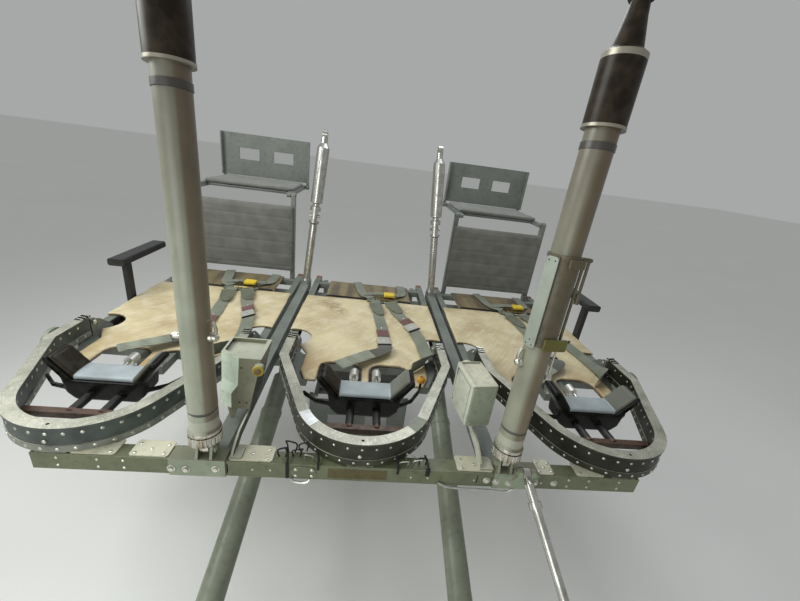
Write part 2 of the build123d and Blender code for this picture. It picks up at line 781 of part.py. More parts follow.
def make_strut_guard():
    """Half shell clamped round the right head strut, with an edge strip and two thin rods beside it."""
    foot, top = strut_line()
    length = guard_end - guard_start
    inner = head_tube_radius + 0.2
    outer = inner + guard_wall
    shell = Cylinder(outer, length) - Cylinder(inner, length + 2)
    shell = shell & Pos(0, -outer / 2 - 4, 0) * Box(outer * 3, outer + 4, length)
    end_z = (length - guard_clamp) / 2
    for end in (-1, 1):
        clamp = Cylinder(outer + guard_clamp_rise, guard_clamp) - Cylinder(inner, guard_clamp + 2)
        shell = shell + Pos(0, 0, end * end_z) * clamp
    strip = Pos(0, outer + strip_thickness / 2 - 0.6, 0) * Box(strip_width, strip_thickness, length - 6)
    shell = shell + Rot(0, 0, strip_turn) * strip
    tab_y = -guard_tab_side
    for end in (-1, 1):
        tab = Pos(outer + 10, tab_y, end * end_z) * Box(24, 8, guard_clamp)
        shell = shell + fillet(tab.edges().filter_by(Axis.Y), guard_clamp / 2 - 0.5)
    long_rod = Cylinder(guard_rod_radius, length)
    short_rod = Cylinder(guard_rod_radius, length / 2)
    clip = Cylinder(guard_rod_radius + 2, guard_clip_length)
    shell = shell + Pos(outer + 7, tab_y, 0) * long_rod
    shell = shell + Pos(outer + 17, tab_y, length / 4) * short_rod
    shell = shell + Pos(outer + 17, tab_y, guard_clip_length / 2) * clip
    return on_axis(foot, top, (guard_start + guard_end) / 2) * shell


def make_foot_struts():
    """Bright rod low down, a slotted fork with its cross pin, and a wider tube up to the eye."""
    foot = (side_beam_x, foot_strut_y, side_beam_top)
    length = distance(foot, foot_strut_top)
    fork_start = length * 0.42
    fork_length = 84
    tube_start = fork_start + fork_length + 14
    strut = turned(foot, foot_strut_top, (
        (8, 16), (20, foot_rod_radius), (fork_start, foot_rod_radius), (fork_start + 8, foot_fork_radius),
        (fork_start + fork_length, foot_fork_radius), (fork_start + fork_length + 4, 15),
        (tube_start, 15), (tube_start + 6, foot_tube_radius), (length - 60, foot_tube_radius),
        (length - 40, 16), (length - 12, 14),
    ))
    slot_length = fork_length - 34
    for side in (-1, 1):
        recess = Pos(side * (foot_fork_radius + 4), 0, 0) * Box(2 * (foot_fork_radius - 8), 60, slot_length)
        strut = strut - on_axis(foot, foot_strut_top, fork_start + 16 + slot_length / 2) * recess
    pin = Rot(0, 90, 0) * Cylinder(7, 2 * foot_fork_radius)
    strut = strut + on_axis(foot, foot_strut_top, fork_start + 16 + slot_length / 2) * pin
    base = block(side_beam_x - 19, side_beam_x + 19, foot_strut_y - 34, foot_strut_y + 34, side_beam_top,
                 side_beam_top + 20)
    base = fillet(base.edges().filter_by(Axis.Z), 8)
    eye = cylinder_x(foot_strut_top, eye_radius - 3, eye_thickness)
    strut = strut + base + eye
    strut = strut - cylinder_x(foot_strut_top, eye_bore_radius, eye_thickness * 3)
    return both_sides(strut)


def make_lower_strut(name):
    """Brace from the head cross beam down to the wall below the couches, with a ring high on its tube."""
    high_x, low_x = lower_strut_ends[name]
    high = (high_x, brace_pin_y, brace_pin_z)
    low = (low_x, lower_strut_low_y, lower_strut_low_z)
    length = distance(high, low)
    tube = lower_tube_radius
    ring = length * lower_ring_start
    ring_end = ring + lower_ring_width
    strut = turned(high, low, (
        (9, 10), (22, 11), (44, tube - 2), (ring, tube - 2), (ring, tube + lower_ring_rise),
        (ring_end, tube + lower_ring_rise), (ring_end, tube), (length - 70, tube), (length - 40, 16),
        (length - 12, 14),
    ))
    eye_high = cylinder_x(high, 13, 2 * brace_lug_x - brace_lug_thickness - 2)
    eye_low = cylinder_x(low, eye_radius, eye_thickness)
    strut = strut + eye_high + eye_low
    return strut - cylinder_x(low, eye_bore_radius, eye_thickness * 3)


def make_side_struts():
    y = cross_beam_ys[0]
    z = cross_beam_top - cross_beam_height / 2
    start = (cross_beam_half_length, y, z)
    end = (cross_beam_half_length + side_strut_length, y, z)
    strut = turned(start, end, (
        (0, side_strut_radius), (side_strut_length * 0.6, side_strut_radius),
        (side_strut_length * 0.6, 17), (side_strut_length - side_pad_thickness - 6, 17),
        (side_strut_length - side_pad_thickness, side_pad_radius), (side_strut_length, side_pad_radius),
    ))
    return both_sides(strut)


def make_left_box():
    """Tapered box with a broad chamfer on its near left corner, an open tray on top and a knob."""
    low_x, high_x, low_y, high_y, low_z, high_z = box_table["side_box_left"]
    outline = [(low_x, low_z), (high_x - 30, low_z), (high_x, high_z), (low_x + 6, high_z)]
    face = Plane.XZ * make_face(Polyline(*outline, close=True))
    body = Pos(0, high_y, 0) * extrude(face, high_y - low_y)
    wedges = []
    for z, across, along in left_box_chamfer:
        corner = Polyline((low_x - 1, low_y - 1), (low_x + across, low_y - 1), (low_x - 1, low_y + along),
                          close=True)
        wedges.append(Pos(0, 0, z) * make_face(corner))
    body = body - loft(wedges, ruled=True)
    rim = box_rim
    tray = make_face(Polyline(
        (low_x + 6 + rim, low_y + along + rim), (low_x + across + rim, low_y + rim),
        (high_x - 2 * rim, low_y + rim), (high_x - 2 * rim, high_y - rim), (low_x + 6 + rim, high_y - rim),
        close=True,
    ))
    body = body - Pos(0, 0, high_z - 2 * rim) * extrude(tray, 3 * rim)
    knob = cylinder_y((high_x - 4, low_y - 6, high_z - 22), 13, 12)
    knob = knob + cylinder_y((high_x - 12, low_y + 6, high_z - 22), 7, 14)
    tab_x = low_x + 32
    tab = [(tab_x - 12, low_z), (tab_x + 12, low_z), (tab_x + 2, low_z - 34), (tab_x - 6, low_z - 34)]
    gusset = Plane.XZ * make_face(Polyline(*tab, close=True))
    return body + knob + Pos(0, low_y + 8, 0) * extrude(gusset, 4)


def make_right_box():
    """Box turned a little about its near left corner, with a lipped lid, a side panel and a far plug."""
    low_x, high_x, low_y, high_y, low_z, high_z = box_table["side_box_right"]
    body = block(low_x, high_x, low_y, high_y, low_z, high_z)
    body = fillet(body.edges().filter_by(Axis.Z), box_chamfer)
    body = fillet(body.edges().filter_by(Axis.Y), box_chamfer / 2)
    rim = box_rim
    body = body - block(low_x + 2 * rim, high_x - rim, low_y + rim, high_y - rim, high_z - 4, high_z + 1)
    panel = [(low_y + 14, low_z + 52), (low_y + 14, high_z - 10), (high_y - 14, high_z - 10),
             (high_y - 14, high_z - 30)]
    body = body - side_plate(panel, low_x - 1, low_x + 1.5)
    plug = cylinder_y(((low_x + high_x) / 2, high_y + 8, high_z - 26), 20, 16)
    corner = Pos(low_x, low_y, 0)
    return corner * Rot(0, 0, right_box_yaw) * corner.inverse() * (body + plug)


def make_box_bracket(name):
    """Curved plate that carries a box from the head beam, with a flange on the beam."""
    low_x, high_x, low_y, high_y, low_z, high_z = box_table[name]
    base = beam_top + plate_thickness
    outline = [
        (6, base), (12, beam_top + 16), (33, beam_top + 27), (58, beam_top + 36), (low_y + 20, beam_top + 38),
        (low_y + 34, low_z), (low_y + 74, low_z), (low_y + 74, beam_top + 20), (66, beam_top + 14),
        (beam_depth, base),
    ]
    plate_x = box_bracket_x
    plate = side_plate(outline, plate_x, plate_x + box_bracket_thickness)
    flange_low, flange_high = box_flange_spans[name]
    flange = block(flange_low, flange_high, 6, beam_depth, base, base + 4)
    plate = plate + flange
    return plate if high_x > 0 else mirrored(plate)


def make_side_box(name):
    body = make_left_box() if name == "side_box_left" else make_right_box()
    return body + make_box_bracket(name)


def armrest_bore():
    """Hole for an armrest's pin, through the outer wall of a couch's rail."""
    middle = (rail_x + rail_width / 2, armrest_pivot_y, (rail_top + rail_bottom) / 2)
    return cylinder_x(middle, armrest_pin_radius + running_gap, 4 * rail_wall)


def make_armrest():
    """Right armrest: post on a pin outside the rail, with a pad reaching towards the feet."""
    inner = cross_beam_half_length + armrest_post_gap
    outer = inner + armrest_post_thickness
    middle = (inner + outer) / 2
    pivot_z = (rail_top + rail_bottom) / 2
    top = pivot_z + armrest_rise
    post = block(inner, outer, armrest_pivot_y - 16, armrest_pivot_y + 16, pivot_z, top)
    post = post + cylinder_x((middle, armrest_pivot_y, pivot_z), 16, armrest_post_thickness)
    pad_near_y = armrest_pivot_y - 30
    pad = block(inner, inner + armrest_pad_width, pad_near_y, pad_near_y + armrest_pad_length,
                top - 2, top + armrest_pad_thickness)
    pad = fillet(pad.edges().filter_by(Axis.Y), 8)
    pin_length = armrest_post_gap + rail_wall + armrest_pin_overhang
    pin = cylinder_x((inner - pin_length / 2, armrest_pivot_y, pivot_z), armrest_pin_radius, pin_length)
    return post + pad + pin


def make_stay_rod():
    """Thin bright rod down from the right clevis: eye, polished sleeve, collar and a lower eye."""
    length = distance(stay_pin, stay_end)
    rod = turned(stay_pin, stay_end, (
        (8, 4), (13, 4), (24, stay_radius + 1), (60, stay_radius + 1), (60, stay_radius + 5),
        (74, stay_radius + 5), (74, stay_radius), (length - 16, stay_radius), (length - 8, 5),
    ))
    rod = rod + cylinder_x(stay_pin, stay_eye_radius, stay_eye_width)
    rod = rod - cylinder_x(stay_pin, stay_pin_radius + running_gap, 40)
    eye = cylinder_x(stay_end, 14, 12)
    return rod + eye - cylinder_x(stay_end, 5, 40)


def ribbon(points, width):
    """Face of a flat strap that follows the points, with mitred corners."""
    left = []
    right = []
    for index, point in enumerate(points):
        before = points[max(index - 1, 0)]
        after = points[min(index + 1, len(points) - 1)]
        into = Vector(point[0] - before[0], point[1] - before[1])
        out = Vector(after[0] - point[0], after[1] - point[1])
        if into.length == 0:
            into = out
        if out.length == 0:
            out = into
        bisector = (into.normalized() + out.normalized()).normalized()
        normal = Vector(-bisector.Y, bisector.X)
        stretch = 1 / max(bisector.dot(into.normalized()), 0.5)
        offset = normal * (width / 2 * stretch)
        left.append((point[0] + offset.X, point[1] + offset.Y))
        right.append((point[0] - offset.X, point[1] - offset.Y))
    outline = left + list(reversed(right))
    return make_face(Polyline(*outline, close=True))


def make_harness(x):
    """Two shoulder straps and two lap straps, lying on the pan towards the buckle."""
    bx, by = buckle_centre
    z = pan_top + 0.3
    hip_z_top = pan_top - hip_panel_drop + 0.3
    straps = [
        (z, ((bx - 22, by - 40), (bx - 34, 760), (bx - 38, 520))),
        (z, ((bx + 26, by - 40), (bx + 62, 800), (bx + 112, 600), (bx + 118, 500))),
    ]
    solids = []
    for level, points in straps:
        solids.append(Pos(x, 0, level) * extrude(ribbon(points, strap_width), strap_thickness))
    lap = (
        ((bx - 52, by + 20), (-110, 1150), (-118, 1200)),
        ((bx + 52, by + 20), (165, 1120), (172, 1200)),
    )
    for points in lap:
        solids.append(Pos(x, 0, hip_z_top) * extrude(ribbon(points, strap_width), strap_thickness))
    return solids


def make_buckle(x):
    bx, by = buckle_centre
    width, depth, height = buckle_size
    base = pan_top + 1
    body = block(x + bx - width / 2, x + bx + width / 2, by - depth / 2, by + depth / 2, base, base + height)
    body = fillet(body.edges().filter_by(Axis.Z), 10)
    body = chamfer(body.faces().sort_by(Axis.Z)[-1].edges(), 4)
    boss = Pos(x + bx, by, base + height) * Cylinder(20, 6)
    return body + boss


def placed_seat(name):
    return Pos(couch_x[name], hip_y, hip_z) * Rot(hip_angle[name], 0, 0)


def placed_leg(name):
    return placed_seat(name) * Pos(0, seat_length, 0) * Rot(knee_angle, 0, 0)


def placed_foot(name):
    return placed_leg(name) * Pos(0, leg_length, 0) * Rot(ankle_angle, 0, 0)


def save(name, shape):
    moved = Pos(-origin[0], -origin[1], -origin[2]) * shape
    moved.label = name
    export_step(moved, os.path.join("parts", name + ".step"))


def main():
    os.makedirs("parts", exist_ok=True)
    ring = make_ring_frame()
    back_frame = make_back_frame()
    back_pan = make_back_pan()
    cradle = make_headrest_cradle()
    pad = make_headrest_pad()
    seat_frame = make_seat_frame()
    seat_pad = make_seat_pad()
    leg_frame = make_leg_frame()
    leg_pad = make_leg_pad()
    foot_pan = make_foot_pan()
    back_frames = {
        "left": back_frame - mirrored(armrest_bore()),
        "centre": back_frame,
        "right": back_frame - armrest_bore(),
    }
    for name in couch_names:
        across = Pos(couch_x[name], 0, 0)
        save(name + "_ring_frame", across * ring)
        save(name + "_back_frame", across * back_frames[name])
        save(name + "_back_pan", across * back_pan)
        save(name + "_headrest_cradle", across * cradle)
        save(name + "_headrest_pad", across * pad)
        save(name + "_seat_frame", placed_seat(name) * seat_frame)
        save(name + "_seat_pad", placed_seat(name) * seat_pad)
        save(name + "_leg_frame", placed_leg(name) * leg_frame)
        save(name + "_leg_pad", placed_leg(name) * leg_pad)
        save(name + "_foot_pan", placed_foot(name) * foot_pan)
    rails = make_headrest_rails()
    save("headrest_rails", Compound(children=[Pos(x, 0, 0) * rails for x in couch_x.values()]))
    straps = []
    for x in couch_x.values():
        straps += make_harness(x)
    save("harness_straps", Compound(children=straps))
    save("harness_buckles", Compound(children=[make_buckle(x) for x in couch_x.values()]))
    save("head_beam", make_head_beam())
    save("beam_plates", make_beam_plates())
    save("strut_clevises", make_strut_clevises())
    save("side_beams", make_side_beams())
    save("cross_beams", make_cross_beams())
    save("brace_lugs", make_brace_lugs())
    save("head_struts", make_head_struts())
    save("strut_guard", make_strut_guard())
    save("foot_struts", make_foot_struts())
    save("lower_struts", Compound(children=[make_lower_strut(name) for name in lower_strut_ends]))
    save("side_struts", make_side_struts())
    save("stay_rod", make_stay_rod())
    for name in box_table:
        save(name, make_side_box(name))
    armrest = make_armrest()
    save("armrest_right", armrest)
    save("armrest_left", mirrored(armrest))


main()
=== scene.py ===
import json
import math

import bpy
from mathutils import Matrix, Vector, noise


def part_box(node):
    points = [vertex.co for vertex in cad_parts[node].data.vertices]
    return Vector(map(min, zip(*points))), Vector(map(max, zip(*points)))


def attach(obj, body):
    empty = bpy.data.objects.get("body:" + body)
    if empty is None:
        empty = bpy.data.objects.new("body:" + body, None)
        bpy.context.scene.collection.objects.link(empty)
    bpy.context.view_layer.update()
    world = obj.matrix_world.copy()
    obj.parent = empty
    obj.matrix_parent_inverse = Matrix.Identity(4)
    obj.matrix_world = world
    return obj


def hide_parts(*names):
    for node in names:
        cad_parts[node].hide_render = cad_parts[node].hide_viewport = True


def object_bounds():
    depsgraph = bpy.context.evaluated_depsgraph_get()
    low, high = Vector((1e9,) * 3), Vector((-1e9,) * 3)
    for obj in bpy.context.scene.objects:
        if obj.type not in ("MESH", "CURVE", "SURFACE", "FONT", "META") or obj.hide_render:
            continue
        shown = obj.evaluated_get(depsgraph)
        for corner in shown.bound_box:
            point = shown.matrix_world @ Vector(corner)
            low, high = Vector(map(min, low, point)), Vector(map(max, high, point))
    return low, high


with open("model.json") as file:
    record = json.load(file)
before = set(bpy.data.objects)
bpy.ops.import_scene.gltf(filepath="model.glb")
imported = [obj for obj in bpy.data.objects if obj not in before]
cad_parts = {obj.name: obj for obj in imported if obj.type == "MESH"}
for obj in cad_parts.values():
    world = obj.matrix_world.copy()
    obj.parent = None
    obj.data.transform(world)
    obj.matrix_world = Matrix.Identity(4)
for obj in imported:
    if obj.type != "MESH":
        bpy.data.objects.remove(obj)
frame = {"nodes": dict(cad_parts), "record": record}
cad_low, cad_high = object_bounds()

# Couch millimetres are used while a piece is made: X across, Y from head to feet, Z up, with zero at
# the nose of the centre couch's ring on its top face. This is where that point is in the row frame.
couch_zero = Vector((0, -0.09414, -0.897))
couch_pitch = 650
couch_x = {"left": -couch_pitch, "centre": 0, "right": couch_pitch}

# Ring outline, as in the CAD
ring_half_width = 265
ring_nose_radius = 180
ring_bend_y = 350
ring_end_y = 476
ring_band = 28
ring_recess = 1.6

# Heights of surfaces that pieces lie on
pan_top = -60
beam_top = -66

# Hip pin, and the axis of the right head strut from its foot to its top
hip_y = 1262
hip_z = -96
strut_foot = Vector((341, 18, -43))
strut_top = Vector((376.72, 94.14, 897))

# Directions and pairs of directions that many fittings use
upward = (0, 0, 1)
footward = (0, 1, 0)
headward = (0, -1, 0)
flat_axes = ((1, 0, 0), (0, 1, 0))
front_axes = ((1, 0, 0), (0, 0, 1))


def couch_point(x, y, z):
    """Point given in couch millimetres, in the row frame in metres."""
    return couch_zero + Vector((x, y, z)) / 1000


def linked(name, data):
    """New object with this data, in the scene."""
    item = bpy.data.objects.new(name, data)
    bpy.context.scene.collection.objects.link(item)
    return item


def make_camera():
    """Camera at the photograph's place and angle: just inside the hatch, looking down the couches."""
    yaw, pitch, roll = 0.112, 0.384, 0.136
    stand = couch_point(-31.67, -619.91, 604.40)
    focal_pixels = 362.27
    picture_pixels = 800
    forward = Vector((math.sin(yaw) * math.cos(pitch), math.cos(yaw) * math.cos(pitch), -math.sin(pitch)))
    level = Vector((math.cos(yaw), -math.sin(yaw), 0))
    up = level.cross(forward)
    right = math.cos(roll) * level + math.sin(roll) * up
    top = -math.sin(roll) * level + math.cos(roll) * up
    data = bpy.data.cameras.new("camera")
    data.sensor_width = 36
    data.lens = data.sensor_width * focal_pixels / picture_pixels
    data.clip_start = 0.02
    data.clip_end = 100
    camera = linked("camera", data)
    turn = Matrix((right, top, -forward)).transposed()
    camera.matrix_world = Matrix.Translation(stand) @ turn.to_4x4()
    bpy.context.scene.camera = camera


looks = {}


class Look:
    """A procedural material. Its patterns are laid out in object coordinates, with sizes in millimetres."""

    def __init__(self, name, colour=None, roughness=0.5, metallic=0.0, sheen=0.0):
        self.name = name
        self.material = bpy.data.materials.new(name)
        self.material.use_nodes = True
        self.tree = self.material.node_tree
        self.shader = self.tree.nodes["Principled BSDF"]
        self.feed("Roughness", roughness)
        self.feed("Metallic", metallic)
        self.feed("Sheen Weight", sheen)
        self.coordinates = self.tree.nodes.new("ShaderNodeTexCoord")
        self.colour = colour

    def connect(self, socket, value):
        if isinstance(value, bpy.types.NodeSocket):
            self.tree.links.new(value, socket)
        elif hasattr(value, "__len__") and len(value) == 3 and socket.type == "RGBA":
            socket.default_value = (*value, 1)
        else:
            socket.default_value = value

    def feed(self, socket, value):
        self.connect(self.shader.inputs[socket], value)

    def add(self, kind, inputs, output, **settings):
        """New node with these settings and inputs. Returns its named or numbered output."""
        node = self.tree.nodes.new(kind)
        for name, value in settings.items():
            setattr(node, name, value)
        for socket, value in inputs:
            self.connect(node.inputs[socket], value)
        return node.outputs[output]

    def placed(self, stretch=(1, 1, 1), turn=(0, 0, 0)):
        """Object coordinates turned, then squeezed along each turned axis by its share."""
        scale = [1 / share for share in stretch]
        inputs = (("Vector", self.coordinates.outputs["Object"]), ("Scale", scale), ("Rotation", turn))
        return self.add("ShaderNodeMapping", inputs, "Vector", vector_type="TEXTURE")

    def clouds(self, size, detail=3, rough=0.5, stretch=(1, 1, 1), turn=(0, 0, 0)):
        """Noise from 0 to 1, mostly near 0.5, with blobs about that wide."""
        inputs = (("Vector", self.placed(stretch, turn)), ("Scale", 1000 / size), ("Detail", detail),
                  ("Roughness", rough))
        return self.add("ShaderNodeTexNoise", inputs, "Fac")

    def ribs(self, size, turn=(0, 0, 0), shake=0.0):
        """Parallel waves, that far apart."""
        inputs = (("Vector", self.placed(turn=turn)), ("Scale", 100 * math.pi / size), ("Distortion", shake))
        return self.add("ShaderNodeTexWave", inputs, "Fac", bands_direction="X")

    def span(self, value, low, high):
        """0 at low, 1 at high, straight between."""
        inputs = (("Value", value), ("From Min", low), ("From Max", high))
        return self.add("ShaderNodeMapRange", inputs, "Result")

    def patches(self, size, low, high, detail=4, rough=0.5, **placing):
        """Blots about that wide: 0 where the noise is at low, 1 where it is at high."""
        return self.span(self.clouds(size, detail, rough, **placing), low, high)

    def calc(self, operation, first, second):
        return self.add("ShaderNodeMath", ((0, first), (1, second)), 0, operation=operation)

    def times(self, first, second):
        return self.calc("MULTIPLY", first, second)

    def mixed(self, first, second, share):
        inputs = ((0, share), (6, first), (7, second))
        return self.add("ShaderNodeMix", inputs, 2, data_type="RGBA")

    def shaded(self, colour, factor):
        """The colour times a plain factor."""
        inputs = ((0, 1.0), (6, colour), (7, (factor, factor, factor)))
        return self.add("ShaderNodeMix", inputs, 2, data_type="RGBA", blend_type="MULTIPLY")

    def tint(self, colour, share, amount=1.0):
        """Lays a colour over the look's own where share is 1, by that amount."""
        if amount < 1:
            share = self.times(share, amount)
        self.colour = self.mixed(self.colour, colour, share)

    def shade(self, factor, share, amount=1.0):
        """Multiplies the look's own colour by a factor where share is 1, by that amount."""
        self.tint(self.shaded(self.colour, factor), share, amount)

    def vary(self, socket, start, *terms):
        """Feeds a socket with start, plus each term's pattern times its amount."""
        for pattern, amount in terms:
            start = self.calc("ADD", start, self.times(pattern, amount))
        self.feed(socket, start)

    def vector_math(self, operation, first, second, output="Value"):
        return self.add("ShaderNodeVectorMath", ((0, first), (1, second)), output, operation=operation)

    def facing(self, direction):
        """1 where the surface faces that way, 0 across it."""
        return self.vector_math("DOT_PRODUCT", self.coordinates.outputs["Normal"], direction)

    def along(self, direction, start=(0, 0, 0)):
        """Millimetres along a direction from start, a couch point."""
        place = self.coordinates.outputs["Object"]
        offset = self.vector_math("SUBTRACT", place, couch_point(*start), "Vector")
        return self.vector_math("DOT_PRODUCT", offset, Vector(direction).normalized() * 1000)

    def near(self, point, reach):
        """1 at a couch point, falling to 0 at that many millimetres from it."""
        away = self.vector_math("DISTANCE", self.coordinates.outputs["Object"], couch_point(*point))
        return self.span(away, reach / 1000, 0)

    def between(self, value, low, high, soft=0.6):
        """1 from low to high and 0 outside."""
        return self.times(self.span(value, low, low + soft), self.span(value, high, high - soft))

    def rounded(self, width):
        """The surface's direction, with sharp edges rounded to that width."""
        return self.add("ShaderNodeBevel", (("Radius", width / 1000),), "Normal", samples=3)

    def edges(self, width):
        """1 on sharp edges, 0 on flat and gently curved faces."""
        true_normal = self.add("ShaderNodeNewGeometry", (), "Normal")
        return self.span(self.vector_math("DOT_PRODUCT", self.rounded(width), true_normal), 0.985, 0.86)

    def done(self, edge=0, *reliefs):
        """Rounds the edges, lays on each relief in turn, and keeps the material under the look's name.

        A relief is a pattern and the depth of the bumps that it makes.
        """
        normal = self.rounded(edge) if edge else None
        for height, depth in reliefs:
            inputs = [("Height", height), ("Distance", depth / 1000)]
            if normal:
                inputs.append(("Normal", normal))
            normal = self.add("ShaderNodeBump", inputs, "Normal")
        if normal:
            self.feed("Normal", normal)
        self.feed("Base Color", self.colour)
        looks[self.name] = self.material


def used_paint(look, bare=(0.42, 0.41, 0.37), chips=0.55, grime=0.5, roughness=0.42, edge=1.2):
    """Finishes a look as used paint over metal: uneven tone, dull grime, scuffs and bare edges."""
    look.shade(0.78, look.patches(110, 0.68, 0.35, 3))
    dirt = look.patches(17, 0.5, 0.74, 6, 0.66)
    look.shade(0.42, dirt, grime)
    look.tint(bare, look.patches(5, 0.66, 0.74, 4, 0.7, stretch=(1, 0.22, 1), turn=(0.4, 0.2, 0.7)), 0.35)
    worn = look.times(look.times(look.edges(edge), look.patches(7, 0.36, 0.6, 4, 0.7)), chips)
    look.tint(bare, worn)
    look.vary("Roughness", roughness, (dirt, 0.22), (worn, -0.1))
    look.done(edge, (look.clouds(2.2, 3, 0.6), 0.05), (worn, -0.12))


def paint(name, colour, **wear):
    used_paint(Look(name, colour), **wear)


def paint_lit_by_facing(name, colour, *lit_zones):
    """Paint with painted light and shade: faces turned a given way get a lighter or darker colour of their
    own. Each zone is direction, limit, colour.
    """
    look = Look(name, colour)
    for direction, limit, shade in lit_zones:
        look.tint(shade, look.span(look.facing(direction), limit, limit + 0.1))
    used_paint(look, chips=0.7, roughness=0.4)


def ring_alloy(name, wall, strip):
    """Bare cross-scratched metal on the ring's top, and painted walls with a strip along the foot."""
    look = Look(name)
    top = look.span(look.facing(upward), 0.7, 0.9)
    height = look.along(upward)
    look.colour = look.mixed(wall, strip, look.span(height, -45.5, -46.5))
    look.shade(0.6, look.patches(45, 0.65, 0.35))
    look.tint((0.012, 0.012, 0.01), look.between(height, -47.3, -45.6), 0.85)
    look.tint((0.45, 0.44, 0.38), look.times(look.edges(1.4), look.patches(8, 0.34, 0.55, 4, 0.7)), 0.7)
    painted = look.colour
    look.colour = look.mixed((0.3, 0.3, 0.24), (0.5, 0.49, 0.41), look.patches(60, 0.3, 0.7))
    for turn in (0.7, -0.75, 0.1):
        scratches = look.patches(2.6, 0.57, 0.68, 3, 0.7, stretch=(1, 0.08, 1), turn=(0, 0, turn))
        look.tint((0.78, 0.78, 0.72), scratches, 0.55)
    look.tint((0.16, 0.16, 0.13), look.patches(9, 0.56, 0.72, 5, 0.65), 0.5)
    look.colour = look.mixed(painted, look.colour, top)
    look.feed("Metallic", look.times(top, 0.65))
    look.vary("Specular IOR Level", 0.22, (top, 0.28))
    look.vary("Roughness", 0.3, (look.clouds(12, 4), 0.3))
    scratches = look.clouds(2.6, 3, 0.7, stretch=(1, 0.1, 1), turn=(0, 0, 0.7))
    look.done(1.4, (scratches, 0.12), (look.clouds(14, 3), 0.25))


def bare_steel(name, colour=(0.62, 0.61, 0.57), roughness=0.22, brushed=(1, 1, 0.05)):
    """Polished metal with fine turning marks and dull patches."""
    look = Look(name, colour, metallic=1.0)
    smears = look.patches(30, 0.4, 0.7, 5, 0.6)
    look.shade(0.62, smears)
    look.shade(0.4, look.edges(0.8), 0.3)
    look.vary("Roughness", roughness, (smears, 0.2))
    look.done(0.8, (look.clouds(1.6, 2, 0.6, stretch=brushed), 0.03))


def strut_paint():
    """Gloss paint that darkens upward, with painted light on each strut's side toward the light, painted
    shade on its other side and over the whole right strut, a bare collar, a dark groove, and a brown sleeve
    and eye.
    """
    look = Look("strut_paint")
    side = look.span(look.along((1, 0, 0)), -1, 1)
    other_side = look.calc("SUBTRACT", 1.0, side)

    def each_side(right, left):
        return look.calc("ADD", look.times(right, side), look.times(left, other_side))

    direction = strut_top - strut_foot
    distance = each_side(look.along(direction, strut_foot),
                         look.along(mirrored_x(direction), mirrored_x(strut_foot)))
    # Painted light: the side of each strut turned toward the light is painted paler, and its other side
    # darker as painted shade.
    painted_light = each_side(look.span(look.facing((-1, -0.05, 0)), 0.1, 0.5),
                    look.span(look.facing((-0.9, -0.45, 0)), -0.15, 0.05))
    look.colour = look.mixed((0.2, 0.165, 0.11), (0.34, 0.36, 0.28), painted_light)
    look.tint(look.mixed((0.13, 0.1, 0.065), (0.2, 0.19, 0.15), painted_light), look.span(distance, 330, 640))
    # Painted shade: the right strut is painted darker and browner than the left.
    look.tint((0.12, 0.09, 0.05), side, 0.3)
    look.shade(0.8, look.patches(70, 0.65, 0.35))
    look.tint((0.16, 0.14, 0.09), look.patches(16, 0.53, 0.72, 5, 0.65, stretch=(1, 1, 0.18)), 0.35)
    chips = look.patches(7, 0.69, 0.73, 4, 0.75)
    look.tint((0.1, 0.095, 0.08), chips, 0.6)
    for low, high, band, amount in (
        (57, 80, (0.45, 0.45, 0.37), 0.6), (94, 101, (0.1, 0.1, 0.08), 1), (697, 711, (0.05, 0.045, 0.04), 1),
    ):
        look.tint(band, look.between(distance, low, high), amount)
    collar = look.between(distance, -40, 51)
    steel = look.patches(6, 0.42, 0.7, stretch=(1, 1, 0.2))
    look.tint(look.mixed((0.62, 0.6, 0.54), (0.3, 0.25, 0.18), steel), collar)
    sleeve = look.between(distance, 733, 1000)
    rims = look.calc("MAXIMUM", look.between(distance, 733, 739), look.between(distance, 842, 853))
    brown = look.mixed((0.015, 0.011, 0.007), (0.035, 0.026, 0.017), look.patches(25, 0.4, 0.65))
    look.tint(look.mixed(brown, (0.3, 0.28, 0.23), rims), sleeve)
    look.feed("Metallic", look.calc("MAXIMUM", collar, look.times(rims, 0.5)))
    look.vary("Specular IOR Level", 0.5, (sleeve, -0.36))
    look.vary("Roughness", 0.27, (look.clouds(20, 4), 0.16), (collar, -0.08))
    look.done(0.8, (look.clouds(3, 3), 0.05), (chips, -0.1))


def headrest_rails():
    """Red-brown crossbar, black sleeves on it, and chrome rods beyond the sleeves."""
    look = Look("headrest_rails")
    far = look.along(footward)
    rods = look.span(far, 168, 169)
    grime = look.patches(14, 0.4, 0.7, 5, 0.65)
    look.colour = look.mixed((0.1, 0.05, 0.03), (0.045, 0.03, 0.022), grime)
    look.tint(look.mixed((0.01, 0.01, 0.01), (0.03, 0.03, 0.027), grime), look.between(far, 115.5, 168.5))
    look.tint(look.mixed((0.75, 0.74, 0.7), (0.5, 0.49, 0.45), grime), rods)
    look.feed("Metallic", rods)
    look.vary("Roughness", 0.42, (grime, 0.2), (rods, -0.3))
    look.done(0.8, (look.clouds(3, 3), 0.05))


def back_frame_paint():
    """Grey-green frame paint, with rusty caps at the hips and bright sockets for the headrest's rods."""
    look = Look("back_frame_paint", (0.16, 0.175, 0.15))
    far = look.along(footward)
    height = look.along(upward)
    look.tint((0.24, 0.09, 0.03), look.times(look.span(far, 1268, 1278), look.patches(16, 0.3, 0.5, 5, 0.6)))
    socket = look.times(look.between(far, 300, 366), look.span(height, -71, -70))
    look.tint((0.72, 0.71, 0.67), socket)
    look.feed("Metallic", socket)
    used_paint(look)


